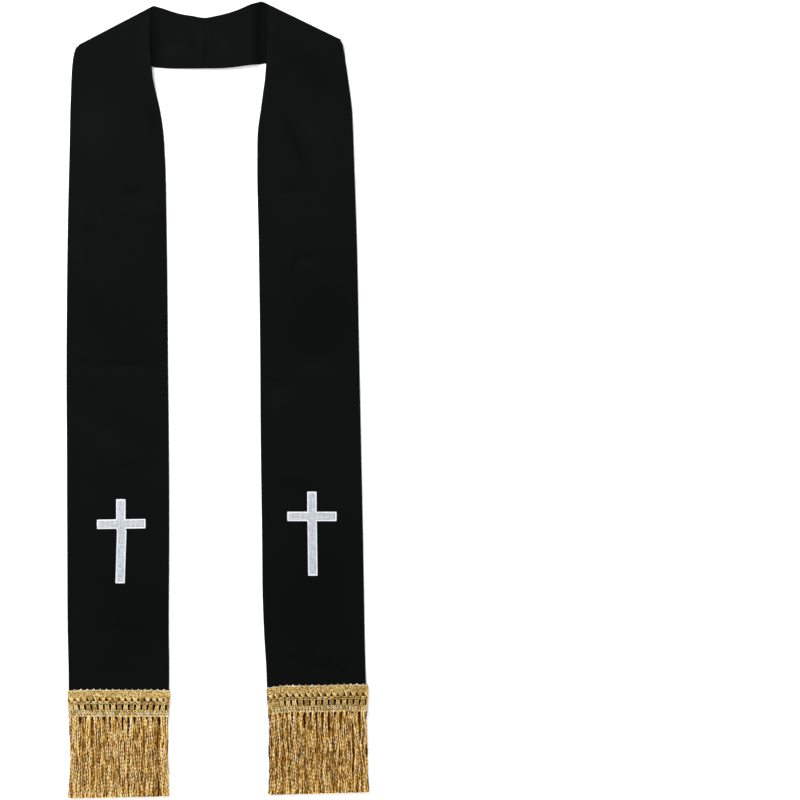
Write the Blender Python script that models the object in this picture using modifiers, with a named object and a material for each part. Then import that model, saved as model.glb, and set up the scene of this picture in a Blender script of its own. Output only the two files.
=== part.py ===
"""Clerical stole, laid flat on a surface with its front face up.

Two cloth halves meet at a seam behind the neck. Each half runs from the seam under the shoulder,
rolls over in a slanting fold and comes down the front as a long panel, which carries an
embroidered cross and ends in gold fringe, one length on its front face and one on its back face.

Metres. +Y runs up to the neck, +X to the right of the laid-out stole, +Z up from the surface.
The origin is on the surface, under the middle of the stole's outline. Tables are in millimetres.
"""
import math
from typing import NamedTuple

import bmesh
import bpy
from mathutils import Matrix, Vector

MM = 0.001

# Cloth: two layers of twill with an interlining between them
WALL = 1.6
SEAM_GAP = 0.3
PIECE_GAP = 0.3
FOLD_CLEARANCE = 0.6
FOLD_RADIUS = WALL + FOLD_CLEARANCE / 2
FOLD_STEPS = 8
CLOTH_COLUMNS = 6
LONG_ROW_STEP = 60.0
FINE_ROW_STEP = 9.0
# The panel's first sections, up to where it lies flat, and where it starts to rise to the shoulder
HEM_SECTIONS = 2
SHOULDER_START_Y = 446.0

# How the panel comes down to the surface beside what it lies on
SHOULDER_EASE_START = 2.0
SHOULDER_EASE = 32.0
HEM_EASE = 26.0

# Fringe: a crocheted heading with a row of open slots, and a skirt of strands in small groups
HEADING_THICKNESS = 1.8
HEADING_HEIGHT = 40.0
REPEAT = 9.1
SCALLOP_RISE = 1.1
SLOT_WIDTH = 2.9
SLOT_HEIGHT = 7.6
SLOT_TOP = 21.0
STRANDS_IN_GROUP = 3
STRAND_RADIUS = 0.75
STRAND_ROOT = 2.0
STRAND_CRIMP = 0.7
CLOTH_BELOW_HEADING = 7.0

# Crosses: satin stitch on a cut-out patch
CROSS_HEIGHT = 122.0
CROSS_WIDTH = 72.5
CROSS_ARM = 14.5
CROSS_BAR_BELOW_TOP = 36.0
CROSS_THICKNESS = 0.8
CROSS_EDGE_ROUND = 0.2

# Heights of the layers at the fringed ends, from the surface up
HEM_LIFT = HEADING_THICKNESS + PIECE_GAP
FRONT_HEADING_Z = HEM_LIFT + WALL + PIECE_GAP
SHOULDER_LIFT = WALL + FOLD_CLEARANCE
BACK_STRAND_Z = PIECE_GAP + STRAND_RADIUS
FRONT_STRAND_Z = BACK_STRAND_Z + 2 * STRAND_RADIUS + 2 * PIECE_GAP

COLLECTION = "clerical_stole"


class Section(NamedTuple):
    """A line across the strip of cloth, from its outer edge to its inner edge."""

    outer_x: float
    outer_y: float
    inner_x: float
    inner_y: float


class Fold(NamedTuple):
    """The shoulder's outline, and how far short of the apex the panel's inner edge reaches it."""

    outer_x: float
    outer_y: float
    inner_x: float
    inner_y: float
    panel_inset: float


class Fringe(NamedTuple):
    """The heading's top left corner, its width and tilt, and where its slots and strands are."""

    left_x: float
    top_y: float
    width: float
    tilt_degrees: float
    drop: float
    lean: float
    first_slot: float
    slots: int


class Cross(NamedTuple):
    """The top of the post, and how far the foot leans and the bar's right end rises."""

    top_x: float
    top_y: float
    foot_lean: float
    bar_rise: float


LEFT_PANEL = [
    Section(-215.5, -467.0, -70.5, -467.0),
    Section(-216.5, -390.0, -70.5, -390.0),
    Section(-217.5, -349.0, -71.0, -349.0),
    Section(-218.5, -204.0, -70.5, -204.0),
    Section(-219.0, -58.5, -71.0, -58.5),
    Section(-219.5, 28.5, -72.0, 28.5),
    Section(-219.0, 144.5, -73.0, 144.5),
    Section(-217.5, 260.5, -74.5, 260.5),
    Section(-215.5, 347.5, -76.5, 347.5),
    Section(-214.5, 391.0, -79.5, 391.0),
    Section(-214.0, 420.0, -84.0, 420.0),
    Section(-213.0, 446.0, -90.0, 446.0),
    Section(-212.5, 463.5, -93.5, 463.5),
    Section(-211.5, 481.0, -95.5, 481.0),
    Section(-210.5, 490.0, -97.0, 498.0),
    Section(-209.0, 499.0, -98.0, 515.5),
    Section(-207.0, 506.5, -98.5, 533.0),
    Section(-204.5, 511.0, -98.0, 550.5),
]
LEFT_FOLD = Fold(-201.5, 514.5, -91.5, 572.0, 7.0)
LEFT_NECK = [
    Section(-182.5, 514.0, -81.0, 567.5),
    Section(-156.5, 506.0, -69.5, 563.5),
    Section(-127.5, 496.0, -58.0, 560.0),
    Section(-98.5, 483.0, -46.5, 557.5),
    Section(-72.5, 480.0, -36.0, 556.0),
    Section(-43.5, 479.5, -26.5, 554.0),
    Section(-17.5, 479.5, -17.5, 553.0),
]

RIGHT_PANEL = [
    Section(215.5, -462.0, 73.0, -462.0),
    Section(214.0, -388.0, 70.0, -388.0),
    Section(213.0, -349.0, 67.5, -349.0),
    Section(212.0, -290.5, 65.0, -290.5),
    Section(210.5, -204.0, 64.0, -204.0),
    Section(207.5, -58.5, 62.0, -58.5),
    Section(204.5, 86.5, 61.0, 86.5),
    Section(201.5, 231.5, 59.0, 231.5),
    Section(197.5, 347.5, 57.0, 347.5),
    Section(196.0, 391.0, 58.0, 391.0),
    Section(194.5, 420.0, 62.0, 420.0),
    Section(191.5, 446.0, 65.5, 446.0),
    Section(189.0, 463.5, 68.0, 463.5),
    Section(186.5, 481.0, 69.5, 481.0),
    Section(185.0, 490.0, 71.0, 499.5),
    Section(184.0, 499.0, 72.5, 518.5),
    Section(182.5, 507.0, 72.5, 537.0),
    Section(181.0, 514.5, 72.0, 556.0),
]
RIGHT_FOLD = Fold(178.5, 522.0, 62.0, 578.5, 12.0)
RIGHT_NECK = [
    Section(161.0, 520.5, 55.0, 575.0),
    Section(133.5, 511.0, 45.0, 571.5),
    Section(104.5, 501.0, 35.0, 567.0),
    Section(74.0, 488.5, 23.5, 562.5),
    Section(40.5, 483.5, 11.5, 559.0),
    Section(10.0, 480.0, -4.0, 555.5),
    Section(-17.5 + SEAM_GAP, 479.5, -17.5 + SEAM_GAP, 553.0),
]
# The neck section whose lower edge lies under the panel's inner edge
NECK_SECTION_AT_PANEL = 3

HALVES = {
    "left": (LEFT_PANEL, LEFT_FOLD, LEFT_NECK),
    "right": (RIGHT_PANEL, RIGHT_FOLD, RIGHT_NECK),
}
FRINGES = {
    "left": Fringe(-217.5, -421.0, 148.0, 0.0, 156.0, 0.0, 16.0, 15),
    "right": Fringe(70.5, -417.5, 147.0, 1.4, 155.5, -1.5, 26.0, 13),
}
CROSSES = {
    "left": Cross(-140.5, -144.5, -1.5, 1.0),
    "right": Cross(136.5, -133.5, 1.0, 0.0),
}

COLOURS = {
    "black_twill": dict(colour=(0.012, 0.014, 0.013), roughness=0.85, metallic=0.0),
    "white_satin_stitch": dict(colour=(0.78, 0.79, 0.83), roughness=0.55, metallic=0.0),
    "gold_thread": dict(colour=(0.48, 0.31, 0.11), roughness=0.40, metallic=0.35),
}


def clear_scene():
    for obj in list(bpy.data.objects):
        bpy.data.objects.remove(obj, do_unlink=True)


def make_collection():
    collection = bpy.data.collections.new(COLLECTION)
    bpy.context.scene.collection.children.link(collection)
    return collection


def make_material(node_name, look_name):
    """A material of the piece's own, with its cloth's or thread's look."""
    look = COLOURS[look_name]
    material = bpy.data.materials.new(f"{node_name}_{look_name}")
    material.use_nodes = True
    shader = material.node_tree.nodes["Principled BSDF"]
    shader.inputs["Base Color"].default_value = (*look["colour"], 1.0)
    shader.inputs["Roughness"].default_value = look["roughness"]
    shader.inputs["Metallic"].default_value = look["metallic"]
    return material


def add_object(name, data, collection, look_name):
    obj = bpy.data.objects.new(name, data)
    obj.data.materials.append(make_material(name, look_name))
    collection.objects.link(obj)
    return obj


def smooth_step(t):
    t = min(max(t, 0.0), 1.0)
    return t * t * (3.0 - 2.0 * t)


def tangents(points, knots):
    """Slopes of a smooth curve through unevenly spaced points."""
    slopes = [(b - a) / (tb - ta) for a, b, ta, tb in zip(points, points[1:], knots, knots[1:])]
    spans = [tb - ta for ta, tb in zip(knots, knots[1:])]
    inner = [
        (slopes[i - 1] * spans[i] + slopes[i] * spans[i - 1]) / (spans[i - 1] + spans[i])
        for i in range(1, len(slopes))
    ]
    return [slopes[0], *inner, slopes[-1]]


def hermite(a, b, slope_a, slope_b, span, t):
    return (
        a * (1 + 2 * t) * (1 - t) ** 2
        + slope_a * span * t * (1 - t) ** 2
        + b * t * t * (3 - 2 * t)
        + slope_b * span * t * t * (t - 1)
    )


def refine(sections, step):
    """Add sections between the table's, on smooth curves through both edges, no more than step apart."""
    outer = [Vector((s.outer_x, s.outer_y)) for s in sections]
    inner = [Vector((s.inner_x, s.inner_y)) for s in sections]
    lengths = [
        max((outer[i + 1] - outer[i]).length, (inner[i + 1] - inner[i]).length)
        for i in range(len(sections) - 1)
    ]
    knots = [0.0]
    for length in lengths:
        knots.append(knots[-1] + length)
    outer_slopes = tangents(outer, knots)
    inner_slopes = tangents(inner, knots)
    rows = []
    for i, length in enumerate(lengths):
        count = max(1, math.ceil(length / step))
        for k in range(count):
            t = k / count
            rows.append(
                Section(
                    *hermite(outer[i], outer[i + 1], outer_slopes[i], outer_slopes[i + 1], length, t),
                    *hermite(inner[i], inner[i + 1], inner_slopes[i], inner_slopes[i + 1], length, t),
                )
            )
    rows.append(sections[-1])
    return rows


def across(section, fraction):
    """The point of a section at a fraction of its length from the outer edge."""
    return Vector(
        (
            section.outer_x + (section.inner_x - section.outer_x) * fraction,
            section.outer_y + (section.inner_y - section.outer_y) * fraction,
        )
    )


def fold_frame(fold):
    """The fold's outer corner, its direction towards the neck, and the way out of the cloth."""
    corner = Vector((fold.outer_x, fold.outer_y))
    along = (Vector((fold.inner_x, fold.inner_y)) - corner).normalized()
    outward = Vector((-along.y, along.x))
    if outward.y < 0:
        outward.negate()
    return corner, along, outward


def fold_section(fold, turn, inset):
    """A section of the roll, turn 0 under the cloth and pi on top of it, short of the apex by inset."""
    corner, along, outward = fold_frame(fold)
    length = math.hypot(fold.inner_x - fold.outer_x, fold.inner_y - fold.outer_y)
    start = corner - outward * FOLD_RADIUS * (1.0 - math.sin(turn))
    end = start + along * (length - inset)
    return Section(start.x, start.y, end.x, end.y)


def shoulder_lift(point, fold, neck):
    """How high the panel's underside lies where it passes over the neck band."""
    corner = Vector((fold.outer_x, fold.outer_y))
    crossing = neck[NECK_SECTION_AT_PANEL]
    edge = (Vector((crossing.outer_x, crossing.outer_y)) - corner).normalized()
    down = Vector((edge.y, -edge.x))
    if down.y > 0:
        down.negate()
    beyond = (point - corner).dot(down) - SHOULDER_EASE_START
    return SHOULDER_LIFT * (1.0 - smooth_step(beyond / SHOULDER_EASE))


def hem_lift(point, side):
    """How high the panel's underside lies where it rises onto the heading at its back."""
    fringe = FRINGES[side]
    slope = math.tan(math.radians(fringe.tilt_degrees))
    heading_top = fringe.top_y + slope * (point.x - fringe.left_x)
    above = point.y - heading_top - 2 * SCALLOP_RISE
    return HEM_LIFT * (1.0 - smooth_step(above / HEM_EASE))


def cloth_rows(side):
    """Rows of points on the cloth's outside, from the hem up the front, over the fold, to the seam."""
    panel, fold, neck = HALVES[side]
    fractions = [c / CLOTH_COLUMNS for c in range(CLOTH_COLUMNS + 1)]
    fold_top = fold_section(fold, math.pi, fold.panel_inset)
    fold_bottom = fold_section(fold, 0.0, 0.0)
    shoulder_index = next(i for i, s in enumerate(panel) if s.outer_y >= SHOULDER_START_Y)
    sections = (
        refine(panel[:HEM_SECTIONS], FINE_ROW_STEP)[:-1]
        + refine(panel[HEM_SECTIONS - 1:shoulder_index + 1], LONG_ROW_STEP)[:-1]
        + refine(panel[shoulder_index:] + [fold_top], FINE_ROW_STEP)
    )
    rows = []
    for section in sections:
        points = [across(section, f) for f in fractions]
        lifts = [shoulder_lift(p, fold, neck) + hem_lift(p, side) for p in points]
        rows.append([(p.x, p.y, WALL + lift) for p, lift in zip(points, lifts)])
    for step in range(1, FOLD_STEPS):
        turn = math.pi * (1.0 - step / FOLD_STEPS)
        inset = fold.panel_inset * (1.0 - step / FOLD_STEPS)
        section = fold_section(fold, turn, inset)
        height = FOLD_RADIUS * (1.0 - math.cos(turn))
        rows.append([(*across(section, f), height) for f in fractions])
    for section in refine([fold_bottom] + neck, LONG_ROW_STEP):
        rows.append([(*across(section, f), 0.0) for f in fractions])
    return rows


def make_half(side, collection):
    """One half of the stole, as an open surface with the cloth's thickness put inside it."""
    rows = cloth_rows(side)
    name = f"half_{side}"
    mesh = bpy.data.meshes.new(name)
    bm = bmesh.new()
    grid = [[bm.verts.new([v * MM for v in point]) for point in row] for row in rows]
    for lower, upper in zip(grid, grid[1:]):
        for c in range(CLOTH_COLUMNS):
            corners = [lower[c], lower[c + 1], upper[c + 1], upper[c]]
            if side == "right":
                corners.reverse()
            bm.faces.new(corners)
    bm.to_mesh(mesh)
    bm.free()
    mesh.shade_smooth()
    obj = add_object(name, mesh, collection, "black_twill")
    wall = obj.modifiers.new("cloth_wall", "SOLIDIFY")
    wall.thickness = WALL * MM
    wall.offset = -1.0
    wall.use_even_offset = True
    return obj


def flat_curve(name, outlines, thickness):
    """A filled flat outline, with any further outlines as holes in it."""
    curve = bpy.data.curves.new(name, "CURVE")
    curve.dimensions = "2D"
    curve.fill_mode = "BOTH"
    curve.extrude = thickness / 2 * MM
    for outline in outlines:
        spline = curve.splines.new("POLY")
        spline.points.add(len(outline) - 1)
        for point, (x, y) in zip(spline.points, outline):
            point.co = (x * MM, y * MM, 0.0, 1.0)
        spline.use_cyclic_u = True
    return curve


def curve_to_mesh(obj, merge_distance):
    """Replace a curve object by a mesh object with its caps welded, in the same place."""
    depsgraph = bpy.context.evaluated_depsgraph_get()
    mesh = bpy.data.meshes.new_from_object(obj.evaluated_get(depsgraph))
    bm = bmesh.new()
    bm.from_mesh(mesh)
    bmesh.ops.remove_doubles(bm, verts=bm.verts, dist=merge_distance * MM)
    bmesh.ops.recalc_face_normals(bm, faces=bm.faces)
    bm.to_mesh(mesh)
    bm.free()
    name = obj.name
    collection = obj.users_collection[0]
    world = obj.matrix_world.copy()
    curve = obj.data
    bpy.data.objects.remove(obj, do_unlink=True)
    bpy.data.curves.remove(curve)
    piece = bpy.data.objects.new(name, mesh)
    piece.matrix_world = world
    collection.objects.link(piece)
    return piece


def heading_outline(fringe):
    """The heading's outline: a scalloped top edge, and straight sides and foot."""
    repeats = round(fringe.width / REPEAT)
    pitch = fringe.width / repeats
    top = []
    for k in range(repeats):
        left = k * pitch
        top += [
            (left, 0.0),
            (left + pitch * 0.3, SCALLOP_RISE),
            (left + pitch * 0.7, SCALLOP_RISE),
        ]
    return top + [(fringe.width, 0.0), (fringe.width, -HEADING_HEIGHT), (0.0, -HEADING_HEIGHT)]


def slot_outlines(fringe):
    """The row of open slots between the heading's upright bars."""
    outlines = []
    for k in range(fringe.slots):
        middle = fringe.first_slot + k * REPEAT
        left = middle - SLOT_WIDTH / 2
        right = middle + SLOT_WIDTH / 2
        bottom = -SLOT_TOP - SLOT_HEIGHT
        outlines.append([(left, -SLOT_TOP), (left, bottom), (right, bottom), (right, -SLOT_TOP)])
    return outlines


def strand_paths(fringe, face):
    """The middle line of each strand, in groups that leave the heading between its slots."""
    groups = round(fringe.width / REPEAT)
    pitch = fringe.width / groups
    root_spacing = 2 * STRAND_RADIUS + 2 * PIECE_GAP
    foot_spacing = pitch / STRANDS_IN_GROUP
    heading_middle = HEADING_THICKNESS / 2
    if face == "front":
        skirt_z = FRONT_STRAND_Z - FRONT_HEADING_Z
    else:
        skirt_z = BACK_STRAND_Z
    below_cloth = HEADING_HEIGHT + CLOTH_BELOW_HEADING + PIECE_GAP
    free = fringe.drop - below_cloth
    levels = [
        # down from the heading's top, spread, crimp, height
        (HEADING_HEIGHT - STRAND_ROOT, 0.0, 0.0, heading_middle),
        (below_cloth, 0.1, 0.0, heading_middle),
        (below_cloth + 0.35 * free, 0.9, 1.0, skirt_z),
        (fringe.drop, 1.0, -0.7, skirt_z),
    ]
    paths = []
    for g in range(groups):
        for s in range(STRANDS_IN_GROUP):
            place = s - (STRANDS_IN_GROUP - 1) / 2
            strand = g * STRANDS_IN_GROUP + s
            wave = STRAND_CRIMP * math.sin(0.55 * strand)
            path = []
            for down, spread, crimp, height in levels:
                spacing = root_spacing + (foot_spacing - root_spacing) * spread
                x = (g + 0.5) * pitch + place * spacing + wave * crimp
                path.append((x + fringe.lean * spread, -down, height))
            paths.append(path)
    return paths


def make_skirt(name, fringe, face, collection):
    """Four-sided strands, as one curve with a spline for each."""
    curve = bpy.data.curves.new(name, "CURVE")
    curve.dimensions = "3D"
    curve.bevel_depth = STRAND_RADIUS * MM
    curve.bevel_resolution = 0
    curve.use_fill_caps = True
    for path in strand_paths(fringe, face):
        spline = curve.splines.new("POLY")
        spline.points.add(len(path) - 1)
        for point, place in zip(spline.points, path):
            point.co = (*[v * MM for v in place], 1.0)
    obj = bpy.data.objects.new(name, curve)
    collection.objects.link(obj)
    return curve_to_mesh(obj, merge_distance=0.01)


def make_fringe(side, face, collection, cutters):
    """A heading with its slots cut through, and the strands' roots fused into its foot."""
    fringe = FRINGES[side]
    name = f"fringe_{face}_{side}"
    outlines = [heading_outline(fringe)] + slot_outlines(fringe)
    curve = flat_curve(name, outlines, HEADING_THICKNESS)
    curve_obj = bpy.data.objects.new(name, curve)
    collection.objects.link(curve_obj)
    heading = curve_to_mesh(curve_obj, merge_distance=0.01)
    heading.data.transform(Matrix.Translation((0.0, 0.0, HEADING_THICKNESS / 2 * MM)))
    heading.data.materials.append(make_material(name, "gold_thread"))
    skirt = make_skirt(f"{name}_strands", fringe, face, cutters)
    skirt.hide_render = True
    skirt.display_type = "WIRE"
    base_z = FRONT_HEADING_Z if face == "front" else 0.0
    for obj in (heading, skirt):
        obj.location = (fringe.left_x * MM, fringe.top_y * MM, base_z * MM)
        obj.rotation_euler.z = math.radians(fringe.tilt_degrees)
    join = heading.modifiers.new("strand_roots", "BOOLEAN")
    join.operation = "UNION"
    join.solver = "EXACT"
    join.use_self = True
    join.object = skirt
    return heading


def cross_outline(cross):
    """A cross with square ends, from the top left corner of its post, round to the left."""
    half = CROSS_ARM / 2
    arm = CROSS_WIDTH / 2
    bar_top = half - CROSS_BAR_BELOW_TOP
    bar_bottom = -half - CROSS_BAR_BELOW_TOP
    foot = -CROSS_HEIGHT
    corners = [
        (-half, 0.0),
        (-half, bar_top),
        (-arm, bar_top),
        (-arm, bar_bottom),
        (-half, bar_bottom),
        (-half, foot),
        (half, foot),
        (half, bar_bottom),
        (arm, bar_bottom),
        (arm, bar_top),
        (half, bar_top),
        (half, 0.0),
    ]
    placed = []
    for x, y in corners:
        lean = cross.foot_lean * max(0.0, bar_bottom - y) / (bar_bottom - foot)
        rise = cross.bar_rise * x / CROSS_WIDTH if bar_bottom <= y <= bar_top else 0.0
        placed.append((x + lean, y + rise))
    return placed


def make_cross(side, collection):
    """A raised cross that lies on the panel."""
    cross = CROSSES[side]
    name = f"cross_{side}"
    curve = flat_curve(name, [cross_outline(cross)], CROSS_THICKNESS - 2 * CROSS_EDGE_ROUND)
    curve.bevel_depth = CROSS_EDGE_ROUND * MM
    curve.bevel_resolution = 0
    curve.offset = -CROSS_EDGE_ROUND * MM
    curve_obj = bpy.data.objects.new(name, curve)
    collection.objects.link(curve_obj)
    height = WALL + PIECE_GAP + CROSS_THICKNESS / 2
    piece = curve_to_mesh(curve_obj, merge_distance=0.01)
    piece.data.materials.append(make_material(name, "white_satin_stitch"))
    piece.location = (cross.top_x * MM, cross.top_y * MM, height * MM)
    return piece


def main():
    clear_scene()
    collection = make_collection()
    cutters = bpy.data.collections.new("joining_shapes")
    bpy.context.scene.collection.children.link(cutters)
    for side in ("left", "right"):
        make_half(side, collection)
        make_cross(side, collection)
        for face in ("front", "back"):
            make_fringe(side, face, collection, cutters)


main()
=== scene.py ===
"""Looks of the clerical stole: black twill, satin-stitched crosses and gold fringe.

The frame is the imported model's: +Y runs up to the neck, +X to the right of the laid-out stole,
+Z up from the surface it lies on. Tables are in millimetres, meshes in metres.
"""
import math
from typing import NamedTuple

import bmesh
import bpy
from mathutils import Matrix, Vector, noise


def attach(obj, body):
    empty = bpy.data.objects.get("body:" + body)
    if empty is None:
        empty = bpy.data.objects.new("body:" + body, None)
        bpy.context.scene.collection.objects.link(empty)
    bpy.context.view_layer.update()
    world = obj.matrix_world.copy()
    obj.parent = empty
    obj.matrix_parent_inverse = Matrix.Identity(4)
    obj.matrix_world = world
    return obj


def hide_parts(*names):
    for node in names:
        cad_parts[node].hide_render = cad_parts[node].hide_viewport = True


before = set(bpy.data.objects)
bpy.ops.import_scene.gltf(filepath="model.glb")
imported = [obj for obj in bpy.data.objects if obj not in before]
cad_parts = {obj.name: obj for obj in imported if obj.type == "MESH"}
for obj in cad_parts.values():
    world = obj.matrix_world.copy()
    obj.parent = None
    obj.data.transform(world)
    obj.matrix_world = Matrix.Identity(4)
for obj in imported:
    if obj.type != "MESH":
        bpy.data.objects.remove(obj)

MM = 0.001

# The photograph's frame on the surface, seen from straight above
FRAME_WIDTH = 1160.0
FRAME_MIDDLE_X = 264.05
FRAME_MIDDLE_Y = -0.7
CAMERA_HEIGHT = 6000.0
SENSOR_WIDTH = 36.0
FLOOR_SIZE = 9000.0
FLOOR_DEPTH = 0.6

# Cloth: the same wall, folds and lifts as the solids have
WALL = 1.6
SEAM_GAP = 0.3
PIECE_GAP = 0.3
FOLD_CLEARANCE = 0.6
FOLD_RADIUS = WALL + FOLD_CLEARANCE / 2
FOLD_STEPS = 14
CLOTH_COLUMNS = 36
ROW_STEP = 4.0
FOLD_ROW_STEP = 3.0
SHOULDER_START_Y = 446.0
SHOULDER_LIFT = WALL + FOLD_CLEARANCE
SHOULDER_EASE_START = 2.0
SHOULDER_EASE = 32.0
HEM_EASE = 26.0
RIM_ROUND = 0.45
# Each panel's inner edge rises where it crosses the neck band
EDGE_STAND = 1.6
EDGE_STAND_FROM = 0.35
EDGE_STAND_RISE_Y = 424.0
EDGE_STAND_FALL_Y = 524.0
EDGE_STAND_SPAN = 40.0
# The neck band billows: low beside the left panel, highest near the right one, with a lip at the left
NECK_LOW = 1.2
NECK_BILLOW = 6.6
NECK_START_X = -104.0
NECK_START_SPAN = 14.0
NECK_LOW_X = -84.0
NECK_CREST_X = 51.0
NECK_END_X = 71.0
NECK_CREASE_END_X = 88.0
NECK_LIP = 4.6
NECK_LIP_X = -100.0
NECK_LIP_WIDTH = 9.0
# The centre back seam lies in a shallow valley between two low ridges
SEAM_X = -17.5
SEAM_RIDGE_HEIGHT = 0.8
SEAM_RIDGE_AWAY = 4.5
SEAM_RIDGE_WIDTH = 2.6
SWELL_HEIGHT = 0.8
SWELL_SIZE = 150.0
SEAM_ALLOWANCE = 8.0
SEAM_ALLOWANCE_EASE = 1.8

# Fringe heading, down from its top edge
HEADING_THICKNESS = 1.8
HEADING_HEIGHT = 38.6
REPEAT = 9.1
SCALLOP_RISE = 1.1
SCALLOP_SHOULDERS = (0.3, 0.7)
SCALLOP_PLATE_SHARE = 0.4
HEM_LIFT = HEADING_THICKNESS + PIECE_GAP
FRONT_HEADING_Z = HEM_LIFT + WALL + PIECE_GAP
PLATE_THICKNESS = 0.8
THREAD_BASE_Z = 0.75
THREAD_SIDES = 4
ZIGZAG_DOWN = 13.5
SLOT_DOWN = 25.1
ROW_END_MARGIN = 0.8
# How far the rows are drawn together, at each distance down, and the heading's ends below its step
DRAWN_IN = [(0.0, -1.5), (13.5, -1.2), (21.0, -0.3), (29.0, 1.7), (38.6, 2.2)]
END_STEPS = {"left": 1.3, "right": 2.3}
END_STEP_DOWN = 17.0
END_STEP_SPAN = 4.0
END_POWER = 21
# Holes: how high their tops and feet lie from the heading's top edge, and half their widths there
SLOT_TOP_Y = -20.8
SLOT_FOOT_Y = -28.7
SLOT_TOP_HALF = 1.8
SLOT_FOOT_HALF = 0.9
SMALL_HOLE_TOP_Y = -17.0
SMALL_HOLE_FOOT_Y = -18.6
SMALL_HOLE_TOP_HALF = 1.0
SMALL_HOLE_FOOT_HALF = 0.8
LEANING_HOLE_TOP_Y = -10.8
LEANING_HOLE_RIGHT_TOP_Y = -11.0
LEANING_HOLE_FOOT_Y = -15.8
LEANING_HOLE_END_MARGIN = 2.0
HOLE_UNEVENNESS = 0.6
CLOSED_HOLE_SHARE = -0.2

# Fringe skirt
SKIRT_ROOT_DOWN = 36.5
CLOTH_END_DOWN = 47.5
SKIRT_SETTLED_DOWN = 70.0
SKIRT_INSET = 1.6
STRAND_SIDES = 6
STRAND_TWIST = 11.0
STRAND_THICKNESS = (0.8, 1.25)
FRAY_FROM = 0.8
FRAY_THICKNESS = 1.25
# Shares of the spacing between strands, of a group's reach and of the crimp
ROOT_UNEVENNESS = 0.45
GATHER_HELD_SHARE = 0.3
CRIMP_HEIGHT_SHARE = 0.4
# What a strand's tone adds to its place in the noise and to its turns, and what its layer's seed adds
TONE_SHIFT_X = 7.3
TONE_SHIFT_Z = 3.1
TONE_TURNS = 5.0
SEED_SHIFT = 0.37
FRINGE_SEEDS = {"left": 100, "right": 400}
FACE_SEEDS = {"front": 0, "back": 200}

# Crosses
CROSS_HEIGHT = 122.0
CROSS_WIDTH = 71.6
CROSS_ARM = 14.0
CROSS_BAR_BELOW_TOP = 36.0
BORDER_WIDTH = 2.4
BORDER_PITCH = 0.42
PAD_THICKNESS = 0.5
PAD_INSET = 0.5
BORDER_HEIGHT_SHARE = 0.6
FILL_PITCH = 0.47
FILL_LENGTH = 7.0
CROSS_EASE = 3.0
CROSS_GAP = 0.02
CROSS_SEEDS = {"left": 11, "right": 47}


class Section(NamedTuple):
    """A line across the strip of cloth, from its outer edge to its inner edge."""

    outer_x: float
    outer_y: float
    inner_x: float
    inner_y: float


class Fold(NamedTuple):
    """The shoulder's outline, and how far short of the apex the panel's inner edge reaches it."""

    outer_x: float
    outer_y: float
    inner_x: float
    inner_y: float
    panel_inset: float


class Edge(NamedTuple):
    """How high the panel's inner edge rolls up, from where across to where, and how far it falls."""

    roll: float
    roll_from: float
    crest: float
    fall: float


class Fringe(NamedTuple):
    """The heading's top left corner, its width and tilt, and where its slots and strands are.

    The strands end at drop below the top edge, foot_rise higher at the right, and hang aside by lean
    and apart by splay. The first peak is the number of the slot that the first leaning hole comes
    after, and the strands hang close together up to close_to.
    """

    left_x: float
    top_y: float
    width: float
    tilt_degrees: float
    drop: float
    lean: float
    splay: float
    foot_rise: float
    first_slot: float
    slots: int
    first_peak: int
    close_to: float


class Cross(NamedTuple):
    """The top of the post, how far its lower part steps and leans and the bar's end rises.

    The last number is how much shorter the left arm is.
    """

    top_x: float
    top_y: float
    lower_step: float
    foot_lean: float
    bar_rise: float
    short_arm: float


class Crease(NamedTuple):
    """A soft ridge: its middle, its direction, and its half length, half width and height."""

    x: float
    y: float
    degrees: float
    length: float
    width: float
    height: float


class Light(NamedTuple):
    """A soft square light that faces the middle of the photograph's frame."""

    x: float
    y: float
    z: float
    size: float
    watts: float


class Gold(NamedTuple):
    """A gold thread's three tones and its share of painted glints, bright flecks that stand in for
    highlights.

    Grain is how fine its patches are, and stretch how much of that they keep along Y. Tone_share is
    how far whole threads differ, and softness how gently the tones run together.
    """

    shade: tuple
    body: tuple
    light: tuple
    painted_glint_share: float
    grain: float
    stretch: float
    tone_share: float
    softness: float
    metallic: float


class Thread(NamedTuple):
    """A thread of a unit: the points on its line, its radius, and whether its ends meet."""

    points: list
    radius: float
    closed: bool = False


LEFT_PANEL = [
    Section(-215.5, -467.0, -73.0, -467.0),
    Section(-216.0, -428.0, -71.0, -428.0),
    Section(-216.5, -390.0, -70.5, -390.0),
    Section(-217.5, -349.0, -71.0, -349.0),
    Section(-218.5, -204.0, -70.5, -204.0),
    Section(-219.0, -58.5, -71.0, -58.5),
    Section(-219.5, 28.5, -72.0, 28.5),
    Section(-219.0, 144.5, -73.0, 144.5),
    Section(-217.5, 260.5, -74.5, 260.5),
    Section(-215.5, 347.5, -76.5, 347.5),
    Section(-214.5, 391.0, -79.5, 391.0),
    Section(-214.0, 420.0, -84.0, 420.0),
    Section(-213.0, 446.0, -90.0, 446.0),
    Section(-212.5, 463.5, -93.5, 463.5),
    Section(-211.5, 481.0, -95.5, 481.0),
    Section(-210.5, 490.0, -97.0, 498.0),
    Section(-209.0, 499.0, -98.0, 515.5),
    Section(-207.0, 506.5, -98.5, 533.0),
    Section(-204.5, 511.0, -98.0, 550.5),
]
LEFT_FOLD = Fold(-201.5, 514.5, -91.5, 572.0, 7.0)
LEFT_NECK = [
    Section(-182.5, 514.0, -81.0, 567.5),
    Section(-156.5, 506.0, -69.5, 563.5),
    Section(-127.5, 496.0, -58.0, 560.0),
    Section(-98.5, 483.0, -46.5, 557.5),
    Section(-72.5, 480.0, -36.0, 556.0),
    Section(-43.5, 479.5, -26.5, 554.0),
    Section(SEAM_X, 479.5, SEAM_X, 553.0),
]

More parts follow.
